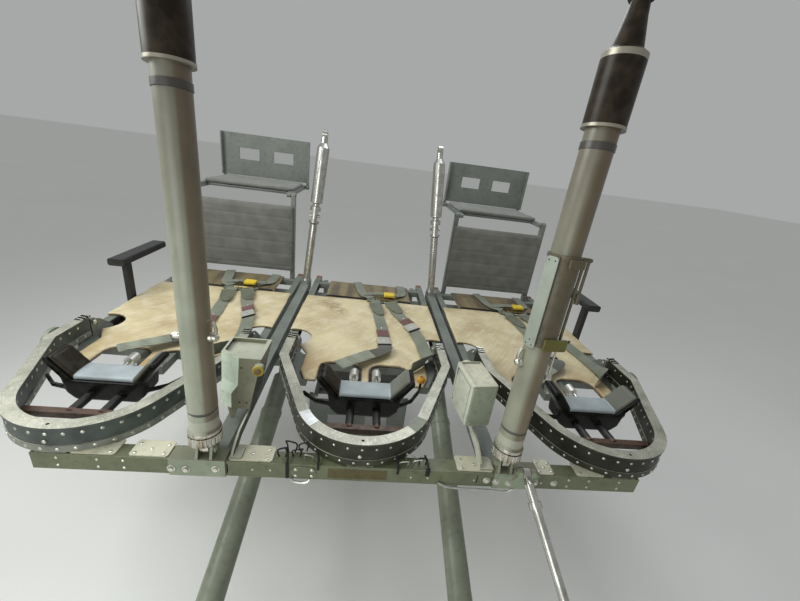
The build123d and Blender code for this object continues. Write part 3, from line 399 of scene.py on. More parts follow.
def glass_cloth():
    """Coated glass cloth: tan, with soft creases darkened by painted shade, scuffs, brown blots, a brown hip
    panel, painted shade on faces that turn away from upward, and a fine weave.
    """
    look = Look("pan_cloth", sheen=0.12)
    far = look.along(footward)
    look.colour = look.mixed((0.42, 0.33, 0.18), (0.6, 0.51, 0.31), look.patches(140, 0.3, 0.62, 4, 0.55))
    creases = look.clouds(44, 5, 0.62, stretch=(1, 0.25, 1), turn=(0, 0, -0.7))
    # Painted shade: darker brown along the creases.
    look.tint((0.3, 0.21, 0.1), look.span(creases, 0.54, 0.7), 0.2)
    pale = look.patches(7, 0.56, 0.66, 4, 0.65, stretch=(1, 0.07, 1), turn=(0, 0, -0.65))
    look.tint((0.76, 0.71, 0.56), pale, 0.45)
    look.tint((0.7, 0.64, 0.47), look.patches(60, 0.5, 0.64, 5, 0.6), 0.4)
    for x, y, reach in ((-195, 905, 45), (-160, 868, 40), (-125, 838, 50), (-150, 900, 40)):
        blot = look.times(look.near((x, y, pan_top), reach), look.patches(12, 0.35, 0.55, 4, 0.6))
        look.tint((0.24, 0.15, 0.06), blot, 0.9)
    stains = look.times(look.span(far, 520, 360), look.patches(75, 0.38, 0.6, 4, 0.6))
    look.tint((0.36, 0.22, 0.09), stains, 0.75)
    brown = look.patches(50, 0.42, 0.6, stretch=(1, 0.15, 1))
    look.tint(look.mixed((0.19, 0.145, 0.065), (0.085, 0.06, 0.028), brown), look.span(far, 988, 996))
    # Painted shade: faces that turn away from upward are painted darker brown.
    look.tint((0.13, 0.08, 0.04), look.span(look.facing(upward), 0.75, 0.3), 0.8)
    weave = look.calc("ADD", look.ribs(1.5), look.ribs(1.5, turn=(0, 0, math.pi / 2)))
    look.shade(0.8, weave, 0.25)
    look.vary("Roughness", 0.34, (look.clouds(25, 4), 0.3))
    look.done(0, (creases, 0.9), (weave, 0.05))


def woven(name, colour, thread=1.4, roughness=0.8, soil=0.4, turn=0.0, crossing=True):
    """Dull woven cloth with crossing threads, or with stitched channels one way only, and soiling."""
    look = Look(name, colour, sheen=0.25)
    weave = look.ribs(thread, turn=(0, 0, turn))
    if crossing:
        weave = look.times(weave, look.ribs(thread, turn=(0, 0, turn + math.pi / 2)))
    else:
        weave = look.span(weave, 0.02, 0.3)
    look.shade(0.72, look.patches(60, 0.66, 0.32))
    look.shade(0.45, look.patches(15, 0.54, 0.75, 6, 0.7), soil)
    look.shade(0.72 if crossing else 0.35, look.calc("SUBTRACT", 1.0, weave))
    look.vary("Roughness", roughness - 0.1, (look.clouds(9, 4), 0.2))
    look.done(0, (look.clouds(18, 4), 0.6), (weave, 0.16))


def moulded(name, colour, roughness=0.4, edge=1.5):
    """Moulded plastic or rubber with a fine grain, dusty patches and lighter edges."""
    look = Look(name, colour)
    dust = look.patches(28, 0.45, 0.75, 5, 0.6)
    look.tint((0.32, 0.31, 0.27), dust, 0.05)
    look.tint((0.12, 0.12, 0.11), look.edges(2.5), 0.12)
    look.feed("Specular IOR Level", 0.16)
    look.vary("Roughness", roughness - 0.08, (dust, 0.25))
    look.done(edge, (look.clouds(1.3, 2), 0.06))


def mirrored_x(vector):
    return Vector((-vector.x, vector.y, vector.z))


ring_alloy("ring_alloy", (0.04, 0.042, 0.027), (0.055, 0.057, 0.036))
ring_alloy("ring_alloy_left", (0.085, 0.1, 0.092), (0.27, 0.28, 0.24))
ring_alloy("ring_alloy_right", (0.022, 0.023, 0.015), (0.045, 0.047, 0.032))
paint("frame_paint", (0.17, 0.185, 0.165))
paint("beam_paint", (0.14, 0.155, 0.085), bare=(0.62, 0.62, 0.5), chips=0.9)
paint("plate_paint", (0.64, 0.62, 0.47), chips=0.8, grime=0.7)
# Painted light: the clevis faces turned toward the head end are painted lighter and greener than the rest.
paint_lit_by_facing("clevis_paint", (0.2, 0.2, 0.14), (headward, 0.7, (0.27, 0.31, 0.22)))
strut_paint()
paint("brace_paint", (0.21, 0.23, 0.17), roughness=0.36)
bare_steel("bright_steel")
headrest_rails()
back_frame_paint()
paint("strip_paint", (0.38, 0.42, 0.36), roughness=0.32, grime=0.3)
paint("olive_paint", (0.13, 0.12, 0.02), roughness=0.4)
# Webbing of the strap fold: the webbing painted darker, as painted shade on the fold's shaded side.
woven("webbing_painted_shade", (0.07, 0.07, 0.05), thread=1.6, turn=0.3)
woven("quilting", (0.25, 0.27, 0.2), thread=9, turn=-0.955, crossing=False)
paint("tongue_paint", (0.14, 0.15, 0.11), roughness=0.35)
paint("plate_grey", (0.4, 0.4, 0.36), roughness=0.35, grime=0.3)
paint("guard_paint", (0.115, 0.095, 0.055), roughness=0.4)
# Painted light and shade: each box's faces are painted lighter or darker by the way they face the light.
paint_lit_by_facing("box_paint_left", (0.28, 0.275, 0.19), ((-0.75, -0.65, 0), 0.7, (0.72, 0.84, 0.68)),
            ((1, 0, -0.2), 0.7, (0.06, 0.058, 0.045)), (upward, 0.7, (0.44, 0.45, 0.36)))
paint_lit_by_facing("box_paint_right", (0.3, 0.33, 0.25), ((-1, 0, 0), 0.6, (0.58, 0.6, 0.5)),
            (upward, 0.7, (0.56, 0.54, 0.42)), (footward, 0.2, (0.46, 0.58, 0.47)))
glass_cloth()
woven("pad_cloth", (0.2, 0.2, 0.18), thread=2.2)
moulded("cradle_black", (0.006, 0.006, 0.005), roughness=0.28, edge=5)
woven("headrest_cloth", (0.42, 0.48, 0.51), thread=1.0, roughness=0.45, soil=0.2)
# Headrest wing cloths: the right wing's cloth, and a near-black look that lays painted shade on the left
# wing.
woven("wing_cloth", (0.15, 0.155, 0.12), thread=1.0, roughness=0.5, soil=0.3)
moulded("wing_dark", (0.022, 0.017, 0.01), roughness=0.3)
woven("webbing", (0.2, 0.22, 0.16), thread=1.6, turn=0.3)
bare_steel("buckle_metal", colour=(0.2, 0.16, 0.08), roughness=0.35)
moulded("armrest_dark", (0.03, 0.03, 0.03))
bare_steel("rivet_steel", colour=(0.7, 0.69, 0.62), roughness=0.25)
bare_steel("silver_tape", colour=(0.85, 0.86, 0.84), roughness=0.3, brushed=(1, 1, 1))
paint("amber_patch", (0.095, 0.078, 0.018), roughness=0.5)
paint("yellow_patch", (0.78, 0.55, 0.03), roughness=0.6, grime=0.6)
woven("red_patch", (0.15, 0.045, 0.035), thread=1.2)
moulded("black_rubber", (0.012, 0.012, 0.012), roughness=0.45)
moulded("amber_knob", (0.6, 0.3, 0.03), roughness=0.35)
moulded("yellow_knob", (0.36, 0.28, 0.05), roughness=0.45)
# The box knob's brown middle: partly its own brown, partly painted shade.
paint("brown_cap", (0.2, 0.12, 0.03), roughness=0.6)
bare_steel("pale_wire", colour=(0.75, 0.75, 0.72), roughness=0.35, brushed=(1, 1, 1))


def dressed(name, mesh, look, body):
    """New piece with this mesh and look, smooth all over, that moves with a body."""
    mesh.materials.append(looks[look])
    mesh.shade_smooth()
    item = linked(name, mesh)
    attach(item, body)
    return item


class Form:
    """Points in couch millimetres and the faces between them, gathered into one piece."""

    def __init__(self):
        self.points = []
        self.faces = []

    def add(self, points, faces):
        start = len(self.points)
        self.points += [Vector(p) for p in points]
        self.faces += [[start + index for index in face] for face in faces]

    def skin(self, points, count):
        """Closed solid through rings of that many points each, with flat ends.

        The rings turn right-handed about the way from first to last, so that all faces look out.
        """
        faces = [list(reversed(range(count)))]
        for low in range(0, len(points) - count, count):
            for step in range(count):
                after = (step + 1) % count
                faces.append([low + step, low + after, low + count + after, low + count + step])
        faces.append(list(range(len(points) - count, len(points))))
        self.add(points, faces)

    def moved(self, matrix):
        """A copy of the form, moved."""
        copy = Form()
        copy.add([matrix @ p for p in self.points], self.faces)
        return copy

    def piece(self, name, look, body="root", sharp=35):
        """Puts the form in the scene, with sharp edges above that many degrees."""
        mesh = bpy.data.meshes.new(name)
        mesh.from_pydata([couch_point(*p) for p in self.points], [], self.faces)
        item = dressed(name, mesh, look, body)
        mesh.set_sharp_from_angle(angle=math.radians(sharp))
        return item

    def on_couch(self, couch, part, look, **options):
        """Puts a copy of the form in the scene on that couch, whose name comes first in the piece's."""
        shift = Matrix.Translation((couch_x[couch], 0, 0))
        return self.moved(shift).piece("%s_%s" % (couch, part), look, **options)


def across_axes(direction):
    """Two level directions at right angles to this one."""
    direction = Vector(direction).normalized()
    helper = Vector((1, 0, 0)) if abs(direction.x) < 0.8 else Vector((0, 1, 0))
    first = direction.cross(helper).normalized()
    return first, direction.cross(first)


def circle(centre, first, second, radius, sides):
    """Points round a centre, in the plane of two axes."""
    angles = [math.tau * step / sides for step in range(sides)]
    return [centre + (first * math.cos(angle) + second * math.sin(angle)) * radius for angle in angles]


def turned(form, base, direction, profile, sides=12):
    """Round solid from base along a direction. Each profile row is distance, radius; the ends are closed."""
    direction = Vector(direction).normalized()
    points = []
    for distance, radius in profile:
        points += circle(Vector(base) + direction * distance, *across_axes(direction), radius, sides)
    form.skin(points, sides)
    return form


def rivet(form, base, direction, radius=3.2, height=1.6):
    """Domed head, let a little into the surface."""
    rows = ((-0.5, 1.0), (height * 0.3, 0.97), (height * 0.7, 0.74), (height, 0.3))
    turned(form, base, direction, [(distance, radius * share) for distance, share in rows], sides=10)


def bolt(form, base, direction, radius=6, height=4):
    """Hexagon head on a washer."""
    turned(form, base, direction, ((-0.5, radius * 1.35), (1, radius * 1.35), (1.2, radius * 1.2)), sides=20)
    turned(form, base, direction, ((1, radius), (height * 0.8, radius), (height, radius * 0.84)), sides=6)


def smooth_rows(rows, steps=6):
    """Catmull-Rom points through rows of numbers, as lists of the same length."""
    rows = [tuple(row) for row in rows]
    ends = [rows[0]] + rows + [rows[-1]]
    out = []
    for index in range(1, len(ends) - 2):
        for step in range(steps):
            t = step / steps
            out.append([
                0.5 * (2 * b + (c - a) * t + (2 * a - 5 * b + 4 * c - d) * t * t
                       + (3 * b - a - 3 * c + d) * t ** 3)
                for a, b, c, d in zip(*ends[index - 1:index + 3])
            ])
    out.append(list(rows[-1]))
    return out


def wire(form, rows, radius, sides=8, steps=6):
    """Round wire through the points, with flat ends."""
    line = [Vector(row) for row in smooth_rows(rows, steps)]
    side = across_axes(line[1] - line[0])[0]
    points = []
    for index, point in enumerate(line):
        tangent = (line[min(index + 1, len(line) - 1)] - line[max(index - 1, 0)]).normalized()
        side = (side - tangent * side.dot(tangent)).normalized()
        points += circle(point, side, tangent.cross(side), radius, sides)
    form.skin(points, sides)
    return form


def slab(form, origin, across, along, outline, thickness, bevel=0.8):
    """Flat plate with softened upper edges. The outline is convex, in the plane of across and along."""
    across = Vector(across).normalized()
    along = (Vector(along) - across * across.dot(Vector(along))).normalized()
    up = across.cross(along)
    origin = Vector(origin)
    middle_u = sum(u for u, v in outline) / len(outline)
    middle_v = sum(v for u, v in outline) / len(outline)
    size = max(math.hypot(u - middle_u, v - middle_v) for u, v in outline)
    shrink = 1 - bevel * 1.4 / size
    area = sum(a[0] * b[1] - b[0] * a[1] for a, b in zip(outline, outline[1:] + outline[:1]))
    outline = outline if area > 0 else list(reversed(outline))
    points = []
    for height, share in ((0, 1.0), (thickness - bevel, 1.0), (thickness, shrink)):
        for u, v in outline:
            u = middle_u + (u - middle_u) * share
            v = middle_v + (v - middle_v) * share
            points.append(origin + across * u + along * v + up * height)
    form.skin(points, len(outline))
    return form


def rectangle(low_u, high_u, low_v, high_v, corner=0.0):
    """Outline of a rectangle, with its corners cut if a size is given."""
    if not corner:
        return [(low_u, low_v), (high_u, low_v), (high_u, high_v), (low_u, high_v)]
    outline = []
    for u, v, first, second in (
        (low_u, low_v, (0, 1), (1, 0)), (high_u, low_v, (-1, 0), (0, 1)),
        (high_u, high_v, (0, -1), (-1, 0)), (low_u, high_v, (1, 0), (0, -1)),
    ):
        outline.append((u + first[0] * corner, v + first[1] * corner))
        middle = 0.29 * corner
        outline.append((u + (first[0] + second[0]) * middle, v + (first[1] + second[1]) * middle))
        outline.append((u + second[0] * corner, v + second[1] * corner))
    return outline


def webbing(form, rows, width, thickness=1.6, lanes=6, ridge=0.0):
    """Flat strap through rows of centre x, y, z and the direction across it x, y, z."""
    line = smooth_rows(rows, 8)
    layers = ((-1, width / 2 * 0.985, range(lanes + 1)), (1, width / 2, range(lanes, -1, -1)))
    points = []
    for index, row in enumerate(line):
        centre = Vector(row[:3])
        ahead = Vector(line[min(index + 1, len(line) - 1)][:3]) - Vector(line[max(index - 1, 0)][:3])
        across = Vector(row[3:6]).normalized()
        up = ahead.cross(across).normalized()
        for layer, half, order in layers:
            for lane in order:
                share = 2 * lane / lanes - 1
                edge = 1 - abs(share) ** 8
                lift = thickness / 2 * (0.25 + 0.75 * edge) + ridge * abs(math.sin(math.pi * lane / 2)) * edge
                points.append(centre + across * share * half + up * layer * lift)
    form.skin(points, 2 * (lanes + 1))
    return form


def ring_point(inset, travel):
    """Point on the ring outline's right half, drawn in by inset, so far from the nose, and the way out."""
    radius = ring_nose_radius - inset
    half = ring_half_width - inset
    reach_y = ring_bend_y - ring_nose_radius
    turn = math.atan2(reach_y, half) - math.acos(radius / math.hypot(half, reach_y))
    arc = radius * (turn + math.pi / 2)
    if travel < arc:
        angle = travel / radius - math.pi / 2
        out = Vector((math.cos(angle), math.sin(angle), 0))
        return Vector((0, ring_nose_radius, 0)) + out * radius, out
    out = Vector((math.cos(turn), math.sin(turn), 0))
    touch = Vector((0, ring_nose_radius, 0)) + out * radius
    bend = Vector((half, ring_bend_y, 0))
    flare = (bend - touch).length
    if travel < arc + flare:
        return touch.lerp(bend, (travel - arc) / flare), out
    return bend + Vector((0, travel - arc - flare, 0)), Vector((1, 0, 0))


rivet_rows = (
    # inset, height, spacing, first travel, facing
    (ring_recess, -16, 33, 0, 1),
    (0, -54.5, 33, 16.5, 1),
    (ring_band - ring_recess, -16, 33, 16.5, -1),
    (ring_band, -54.5, 33, 0, -1),
)
ring_travel = 560


def ring_rivets(radius):
    """Rows of rivets on both walls of a ring, and one bolt at the nose."""
    form = Form()
    for inset, height, spacing, first, facing in rivet_rows:
        travel = first
        while travel < ring_travel:
            place, out = ring_point(inset, travel)
            if place.y > ring_end_y - 14:
                break
            place.z = height
            rivet(form, place, out * facing, radius)
            if travel > 0:
                rivet(form, mirrored_x(place), mirrored_x(out) * facing, radius)
            travel += spacing
    bolt_rows = ((0, 4.6), (2, 4.6), (2.8, 3.6), (2.8, 2))
    turned(form, (-4, ring_recess + 0.2, -35), headward, bolt_rows, sides=14)
    return form


def tape_strip(form, first, last, thickness, steps=10, margin=0.5):
    """Tape on a ring's top, between two polar angles about the nose's centre, in degrees."""
    centre = Vector((0, ring_nose_radius, 0))
    inner = ring_nose_radius - ring_band + margin
    outer = ring_nose_radius - margin
    points = []
    for step in range(steps + 1):
        angle = math.radians(first + (last - first) * step / steps)
        out = Vector((math.cos(angle), math.sin(angle), 0))
        wobble = 0.15 * math.sin(step * 2.3)
        for radius, height in ((inner, 0), (inner, thickness), (outer, thickness + wobble), (outer, 0)):
            points.append(centre + out * radius + Vector((0, 0, height)))
    form.skin(points, 4)
    return form


def dress_rings():
    """Rivets, latches and tape on the three ring frames."""
    for name, radius in (("left", 4.2), ("centre", 3.2), ("right", 3.6)):
        ring_rivets(radius).on_couch(name, "ring_rivets", "rivet_steel")
    for name, look, first, last, thickness in (
        ("ring_tape", "silver_tape", 208, 226, 0.5), ("ring_tape_faded", "brace_paint", -46, -29, 0.4),
    ):
        tape_strip(Form(), first, last, thickness).piece(name, look)
    latch = Form()
    pad = Form()
    for side in (-1, 1):
        arm_x = side * (ring_half_width - ring_band / 2)
        for step, rise in ((-16, 2.2), (-4, 3), (9, 3.6)):
            slab(latch, (arm_x, ring_end_y + step, 0.6), (1, 0.25 * side, 0), (0, 1, 0.35),
                 rectangle(-13, 13, 0, 2.6), rise, 0.4)
        for pin_side in (-1, 1):
            bolt(latch, (arm_x + pin_side * 15, ring_end_y + 22, -24), (pin_side, 0, 0), 5.5, 4)
        turned(latch, (arm_x, ring_end_y + 12, -8), footward, ((0, 3), (16, 3), (17, 2)))
        slab(pad, (arm_x, ring_end_y - 4, 0), *flat_axes, rectangle(-13.5, 13.5, -16, 20, 3), 1.6)
    for name in couch_x:
        latch.on_couch(name, "ring_latches", "rivet_steel")
        pad.on_couch(name, "latch_pads", "black_rubber")


dress_rings()


def cad_copy(name, node, voxel, smoothing=4):
    """Copy of a CAD node's mesh, rebuilt in small even faces with rounded edges, in the row frame."""
    copy = linked(name + "_source", frame["nodes"][node].data.copy())
    remesh = copy.modifiers.new("even", "REMESH")
    remesh.mode = "VOXEL"
    remesh.voxel_size = voxel / 1000
    soften = copy.modifiers.new("soft", "SMOOTH")
    soften.iterations = smoothing
    bpy.context.view_layer.update()
    shown = copy.evaluated_get(bpy.context.evaluated_depsgraph_get())
    mesh = bpy.data.meshes.new_from_object(shown)
    bpy.data.objects.remove(copy)
    mesh.name = name
    return mesh


def couch_copy(base, name):
    """Copy of a centre couch's mesh, moved to that couch."""
    mesh = base.copy()
    shift = couch_x[name] / 1000
    for vertex in mesh.vertices:
        vertex.co.x += shift
    return mesh


def soft_piece(name, mesh, look, body, node):
    """Puts a finished soft mesh in the scene in place of its CAD node."""
    mesh.materials.clear()
    item = dressed(name, mesh, look, body)
    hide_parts(node)
    return item


# The pan's two notches at its head end and the round bite in each side, as in the CAD
notch_centre_x = 81
notch_half_width = 67
notch_far_y = 426
notch_round = 38
bite_centre = (266, 578)
bite_radius = 60


def notch_distance(x, y):
    """Distance from a point on the pan to the nearest notch's edge or the round bite's, in millimetres."""
    u = abs(abs(x) - notch_centre_x) - (notch_half_width - notch_round)
    v = y - (notch_far_y - notch_round)
    notch = math.hypot(max(u, 0), max(v, 0)) + min(max(u, v), 0) - notch_round
    bite = math.hypot(abs(x) - bite_centre[0], y - bite_centre[1]) - bite_radius
    return min(notch, bite)


def wrinkle(x, y, seed):
    """Height of the cloth's soft diagonal wrinkles, in millimetres."""
    fold_length, fold_width = 170, 34
    u = (x * 0.8 + y * 0.6) / fold_length
    v = (-x * 0.6 + y * 0.8) / fold_width
    fold = noise.noise(Vector((u, v, seed)))
    fine = noise.noise(Vector((u * 3, v * 2.2, seed + 7)))
    return 1.5 * fold + 0.5 * fine


def make_pan_cloths():
    """Cloth on the three back pans: soft wrinkles, and a raised seam round each notch and bite."""
    top_layer = 8
    seam_height, seam_width, seam_inset = 1.6, 3.2, 7
    taut_edge, fade = 10, 25
    base = cad_copy("pan_cloth", "centre_back_pan", 5.0)
    for seed, name in enumerate(couch_x):
        mesh = base.copy()
        shift = couch_x[name] / 1000
        for vertex in mesh.vertices:
            x, y, z = (vertex.co - couch_zero) * 1000
            if z > pan_top - top_layer:
                edge = notch_distance(x, y)
                seam = seam_height * math.exp(-((edge - seam_inset) / seam_width) ** 2)
                inside = min(1.0, max(0.0, (edge - taut_edge) / fade))
                vertex.co.z += (wrinkle(x, y, seed * 11.0) * inside + seam - seam_height / 2) / 1000
            vertex.co.x += shift
        pan = soft_piece(name + "_pan_cloth", mesh, "pan_cloth", "root", name + "_back_pan")


make_pan_cloths()


def inflate(mesh, name, pressure, cap, frames=20):
    """Fills a closed cloth with air in a short simulation. No point moves further than cap millimetres."""
    item = linked(name + "_cloth", mesh)
    cloth = item.modifiers.new("cloth", "CLOTH")
    cloth.settings.use_pressure = True
    cloth.settings.uniform_pressure_force = pressure
    cloth.settings.effector_weights.gravity = 0
    cloth.settings.quality = 4
    scene = bpy.context.scene
    for step in range(1, frames + 1):
        scene.frame_set(step)
    shown = item.evaluated_get(bpy.context.evaluated_depsgraph_get())
    swollen = [vertex.co.copy() for vertex in shown.data.vertices]
    scene.frame_set(1)
    for vertex, place in zip(mesh.vertices, swollen):
        move = place - vertex.co
        if move.length > cap / 1000:
            move.length = cap / 1000
        vertex.co += move
    bpy.data.objects.remove(item)


def make_limb_pads():
    """Seat and leg pads: one of each is made on the left couch and copied to the others."""
    hip = couch_point(0, hip_y, hip_z)
    half_turn = Matrix.Translation(hip) @ Matrix.Rotation(math.pi, 4, "X") @ Matrix.Translation(-hip)
    channel_depth = 0.0026
    channel_width = 3.5
    for body, channel_pitch in (("seat", 62), ("leg", 58)):
        piece = body + "_pad_cloth"
        node = "left_%s_pad" % body
        mesh = cad_copy(piece, node, 6.0)
        low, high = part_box(node)
        middle = (low + high) / 2
        size = high - low
        thin = min(range(3), key=lambda axis: size[axis])
        inflate(mesh, piece, pressure=4.0, cap=5.0)
        long_axis = 2 if thin == 1 else 1
        for vertex in mesh.vertices:
            share = abs(vertex.co[thin] - middle[thin]) / (size[thin] / 2)
            if share > 0.5:
                travel = (vertex.co[long_axis] - low[long_axis]) * 1000
                dip = math.exp(-(((travel % channel_pitch) - channel_pitch / 2) / channel_width) ** 2)
                sign = 1 if vertex.co[thin] > middle[thin] else -1
                vertex.co[thin] -= sign * channel_depth * dip
        for couch in couch_x:
            own = mesh.copy()
            move = Matrix.Translation(((couch_x[couch] + couch_pitch) / 1000, 0, 0))
            if couch == "centre":
                move = half_turn @ move
            own.transform(move)
            pad = soft_piece("%s_%s" % (couch, piece), own, "pad_cloth", "%s_%s" % (couch, body),
                             "%s_%s_pad" % (couch, body))


make_limb_pads()


def make_headrest_pads():
    """Headrest pads: a flat middle panel and two darker wings, the left one much darker as painted shade,
    with a seam at each bend.
    """
    base = cad_copy("headrest_pad_cloth", "centre_headrest_pad", 3.2, smoothing=3)
    bend_x = 67
    near_y, far_y = 178, 242
    crown_height, crown_fade = 1.6, 14
    seam_depth, seam_width = 1.8, 2.6
    sink = 0.9
    for vertex in base.vertices:
        x, y, z = (vertex.co - couch_zero) * 1000
        seam = math.exp(-((abs(x) - bend_x) / seam_width) ** 2)
        crown = min(1.0, max(0.0, min(y - near_y, far_y - y) / crown_fade))
        vertex.co.z += (crown * crown_height - seam * seam_depth - sink) / 1000
    for name in couch_x:
        mesh = couch_copy(base, name)
        pad = soft_piece(name + "_headrest_cloth", mesh, "headrest_cloth", name + "_headrest",
                         name + "_headrest_pad")
        # The left wing gets the near-black look as painted shade; the right wing keeps the wing cloth.
        mesh.materials.append(looks["wing_cloth"])
        mesh.materials.append(looks["wing_dark"])
        for face in mesh.polygons:
            x = (face.center.x - couch_zero.x) * 1000 - couch_x[name]
            face.material_index = 1 if x > bend_x + 2 else 2 if x < -bend_x - 2 else 0


make_headrest_pads()


def make_headrest_cradles():
    """Headrest shells with the soft rounded edges of moulded rubber."""
    base = cad_copy("headrest_shell", "centre_headrest_cradle", 2.5, smoothing=5)
    for name in couch_x:
        soft_piece(name + "_headrest_shell", couch_copy(base, name), "cradle_black", name + "_headrest",
                   name + "_headrest_cradle")


make_headrest_cradles()


shoulder_left = (
    # centre x, y, z, direction across x, y, z
    (30, 965, -50, 0.98, 0.2, 0), (38, 900, -55, 0.98, 0.2, 0), (46, 800, -56, 0.99, 0.15, 0),
    (58, 700, -56, 1, 0.12, 0), (62, 630, -56, 1, 0.12, 0), (63, 575, -56, 1, 0.12, 0),
    (63, 540, -54, 1, 0.1, 0),
)
strap_fold = (
    (63, 544, -52, 0.99, 0.12, 0), (68, 520, -45, 0.95, -0.25, 0.16), (58, 492, -40, 0.8, -0.58, 0.14),
    (34, 470, -40, 0.64, -0.76, 0.05), (12, 457, -41, 0.58, -0.81, 0),
)
quilted_end = (
    (16, 460, -40, 0.58, -0.82, 0), (-12, 434, -38, 0.58, -0.82, 0.02), (-48, 399, -34, 0.58, -0.81, 0.05),
    (-84, 362, -31, 0.62, -0.78, 0.05),
)
shoulder_right = (
    (104, 962, -50, 0.94, 0.33, 0.05), (121, 868, -54, 0.93, 0.35, 0.08), (150, 790, -53, 0.9, 0.4, 0.18),
    (172, 729, -52, 0.88, 0.42, 0.2), (186, 684, -52, 0.88, 0.42, 0.2), (200, 620, -52, 0.92, 0.35, 0.18),
    (209, 565, -52, 0.97, 0.2, 0.12), (214, 508, -49, 0.98, 0.1, 0.18), (216, 472, -42, 0.85, 0, 0.5),
    (206, 438, -37, 0.3, -0.15, 0.9), (180, 411, -36, 0.1, -0.1, 0.99), (148, 382, -38, 0.08, -0.08, 0.99),
)
lap_left = (
    (-64, 1216, -60, 0.95, 0.3, 0), (-52, 1160, -60, 0.94, 0.33, 0), (-38, 1090, -60, 0.94, 0.33, 0),
    (-18, 1030, -56, 0.9, 0.42, 0), (16, 1000, -52, 0.6, 0.8, 0),
)
lap_right = (
    (164, 1212, -60, 0.99, -0.05, 0), (166, 1160, -60, 1, 0, 0), (164, 1100, -60, 0.98, 0.18, 0),
    (150, 1050, -56, 0.85, 0.5, 0), (118, 1018, -50, 0.55, 0.83, 0),
)
lap_across = (
    (-22, 1040, -53, 0.1, 1, 0), (30, 1052, -50, 0.05, 1, 0), (90, 1060, -50, 0, 1, 0),
    (152, 1062, -53, -0.1, 1, 0),
)
strap_width = 45
left_across = Vector((1, 0.12, 0))
right_across = Vector((0.88, 0.42, 0.2))
strap_up = Vector((-0.25, 0.97, 0))
adjusters = (
    # centre x, y, z, direction across, reach up and down the strap
    (63, 582, -55, left_across, 28),
    (178, 708, -51, right_across, 28),
)
red_patches = (
    (61, 645, -55, left_across, 26),
    (164, 757, -51.5, right_across, 25),
)
tongues = (
    (40, 868, -52.5, Vector((0.98, 0.2, 0)), 62),
    (120, 892, -51.5, Vector((0.94, 0.33, 0.05)), 58),
)
strap_studs = ((53, 826, -53), (130, 862, -51), (56, 690, -55), (152, 788, -51))


def make_harness():
    """Webbing, folded and quilted strap ends, adjusters, patches and buckle fittings of the three couches."""
    straps = Form()
    for rows in (shoulder_left, shoulder_right, lap_left, lap_right):
        webbing(straps, rows, strap_width)
    webbing(straps, lap_across, 34)
    fold = webbing(Form(), strap_fold, 52, thickness=2)
    quilt = webbing(Form(), quilted_end, 54, thickness=5, lanes=12, ridge=1.6)
    plates = Form()
    bars = Form()
    studs = Form()
    for x, y, z, across, reach in adjusters:
        slab(plates, (x, y, z), across, strap_up, rectangle(-24, 24, -reach, reach, 5), 2.4)
        bar = rectangle(-25, 25, -reach - 5, -reach + 3)
        slab(bars, (x, y, z + 0.6), across, strap_up, bar, 3.4, 0.4)
        rivet(studs, (x, y, z + 2.2), upward, 4.2, 1.6)
    for place in strap_studs:
        rivet(studs, place, upward, 4, 1.8)
    tips = Form()
    for x, y, z, across, reach in tongues:
        tip = [(-29, reach)]
        tip += [(u, -reach * share) for u, share in (
            (-25, 0.3), (-14, 0.75), (-4, 1), (10, 1), (20, 0.8), (27, 0.3))]
        tip += [(29, reach)]
        slab(tips, (x, y, z), across, strap_up, tip, 3.4)
        slab(tips, (x, y, z + 3), across, strap_up, [(u * 0.6, v * 0.62 + 3) for u, v in tip], 1.6)
    slab(tips, (62, 984, -56.5), *flat_axes, [(-70, -28), (58, -36), (78, 2), (72, 14), (-72, 16)], 3)
    for u in (-50, -18, 14, 46):
        rivet(studs, (62 + u, 958 - 0.06 * u, -53.6), upward, 4, 2)
    red = Form()
    for x, y, z, across, reach in red_patches:
        slab(red, (x, y, z), across, strap_up, rectangle(-23.5, 23.5, -reach, reach), 1.8, 0.5)
    yellow = slab(Form(), (96, 1008, -40), *flat_axes, rectangle(-25, 25, -20, 22, 3), 10, 1)
    for couch in couch_x:
        webbing_piece = straps.on_couch(couch, "webbing", "webbing")
        if couch == "centre":
            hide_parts("harness_straps")
        quilt.on_couch(couch, "strap_end", "quilting", sharp=70)
        for form, part, look in (
            # The strap fold is painted darker than the webbing, as painted shade.
            (fold, "strap_fold", "webbing_painted_shade"), (tips, "strap_tongues", "tongue_paint"),
            (plates, "strap_adjusters", "plate_grey"), (bars, "strap_bars", "black_rubber"),
            (studs, "strap_studs", "rivet_steel"), (red, "strap_patches", "red_patch"),
            (yellow, "buckle_plate", "yellow_patch"),
        ):
            form.on_couch(couch, part, look)


make_harness()


def wire_loop(form, place, tall, lean, radius, first_y, last_y, last_share):
    """Loop of wire that stands on the beam's top, its two sides set off from its feet in y."""
    x, y = place
    rows = ((-8, 0, 0), (-10, first_y, 0.7), (lean, -4, 1), (10, last_y, last_share), (7, 0, 0))
    wire(form, [(x + u, y + v, beam_top + tall * share) for u, v, share in rows], radius)


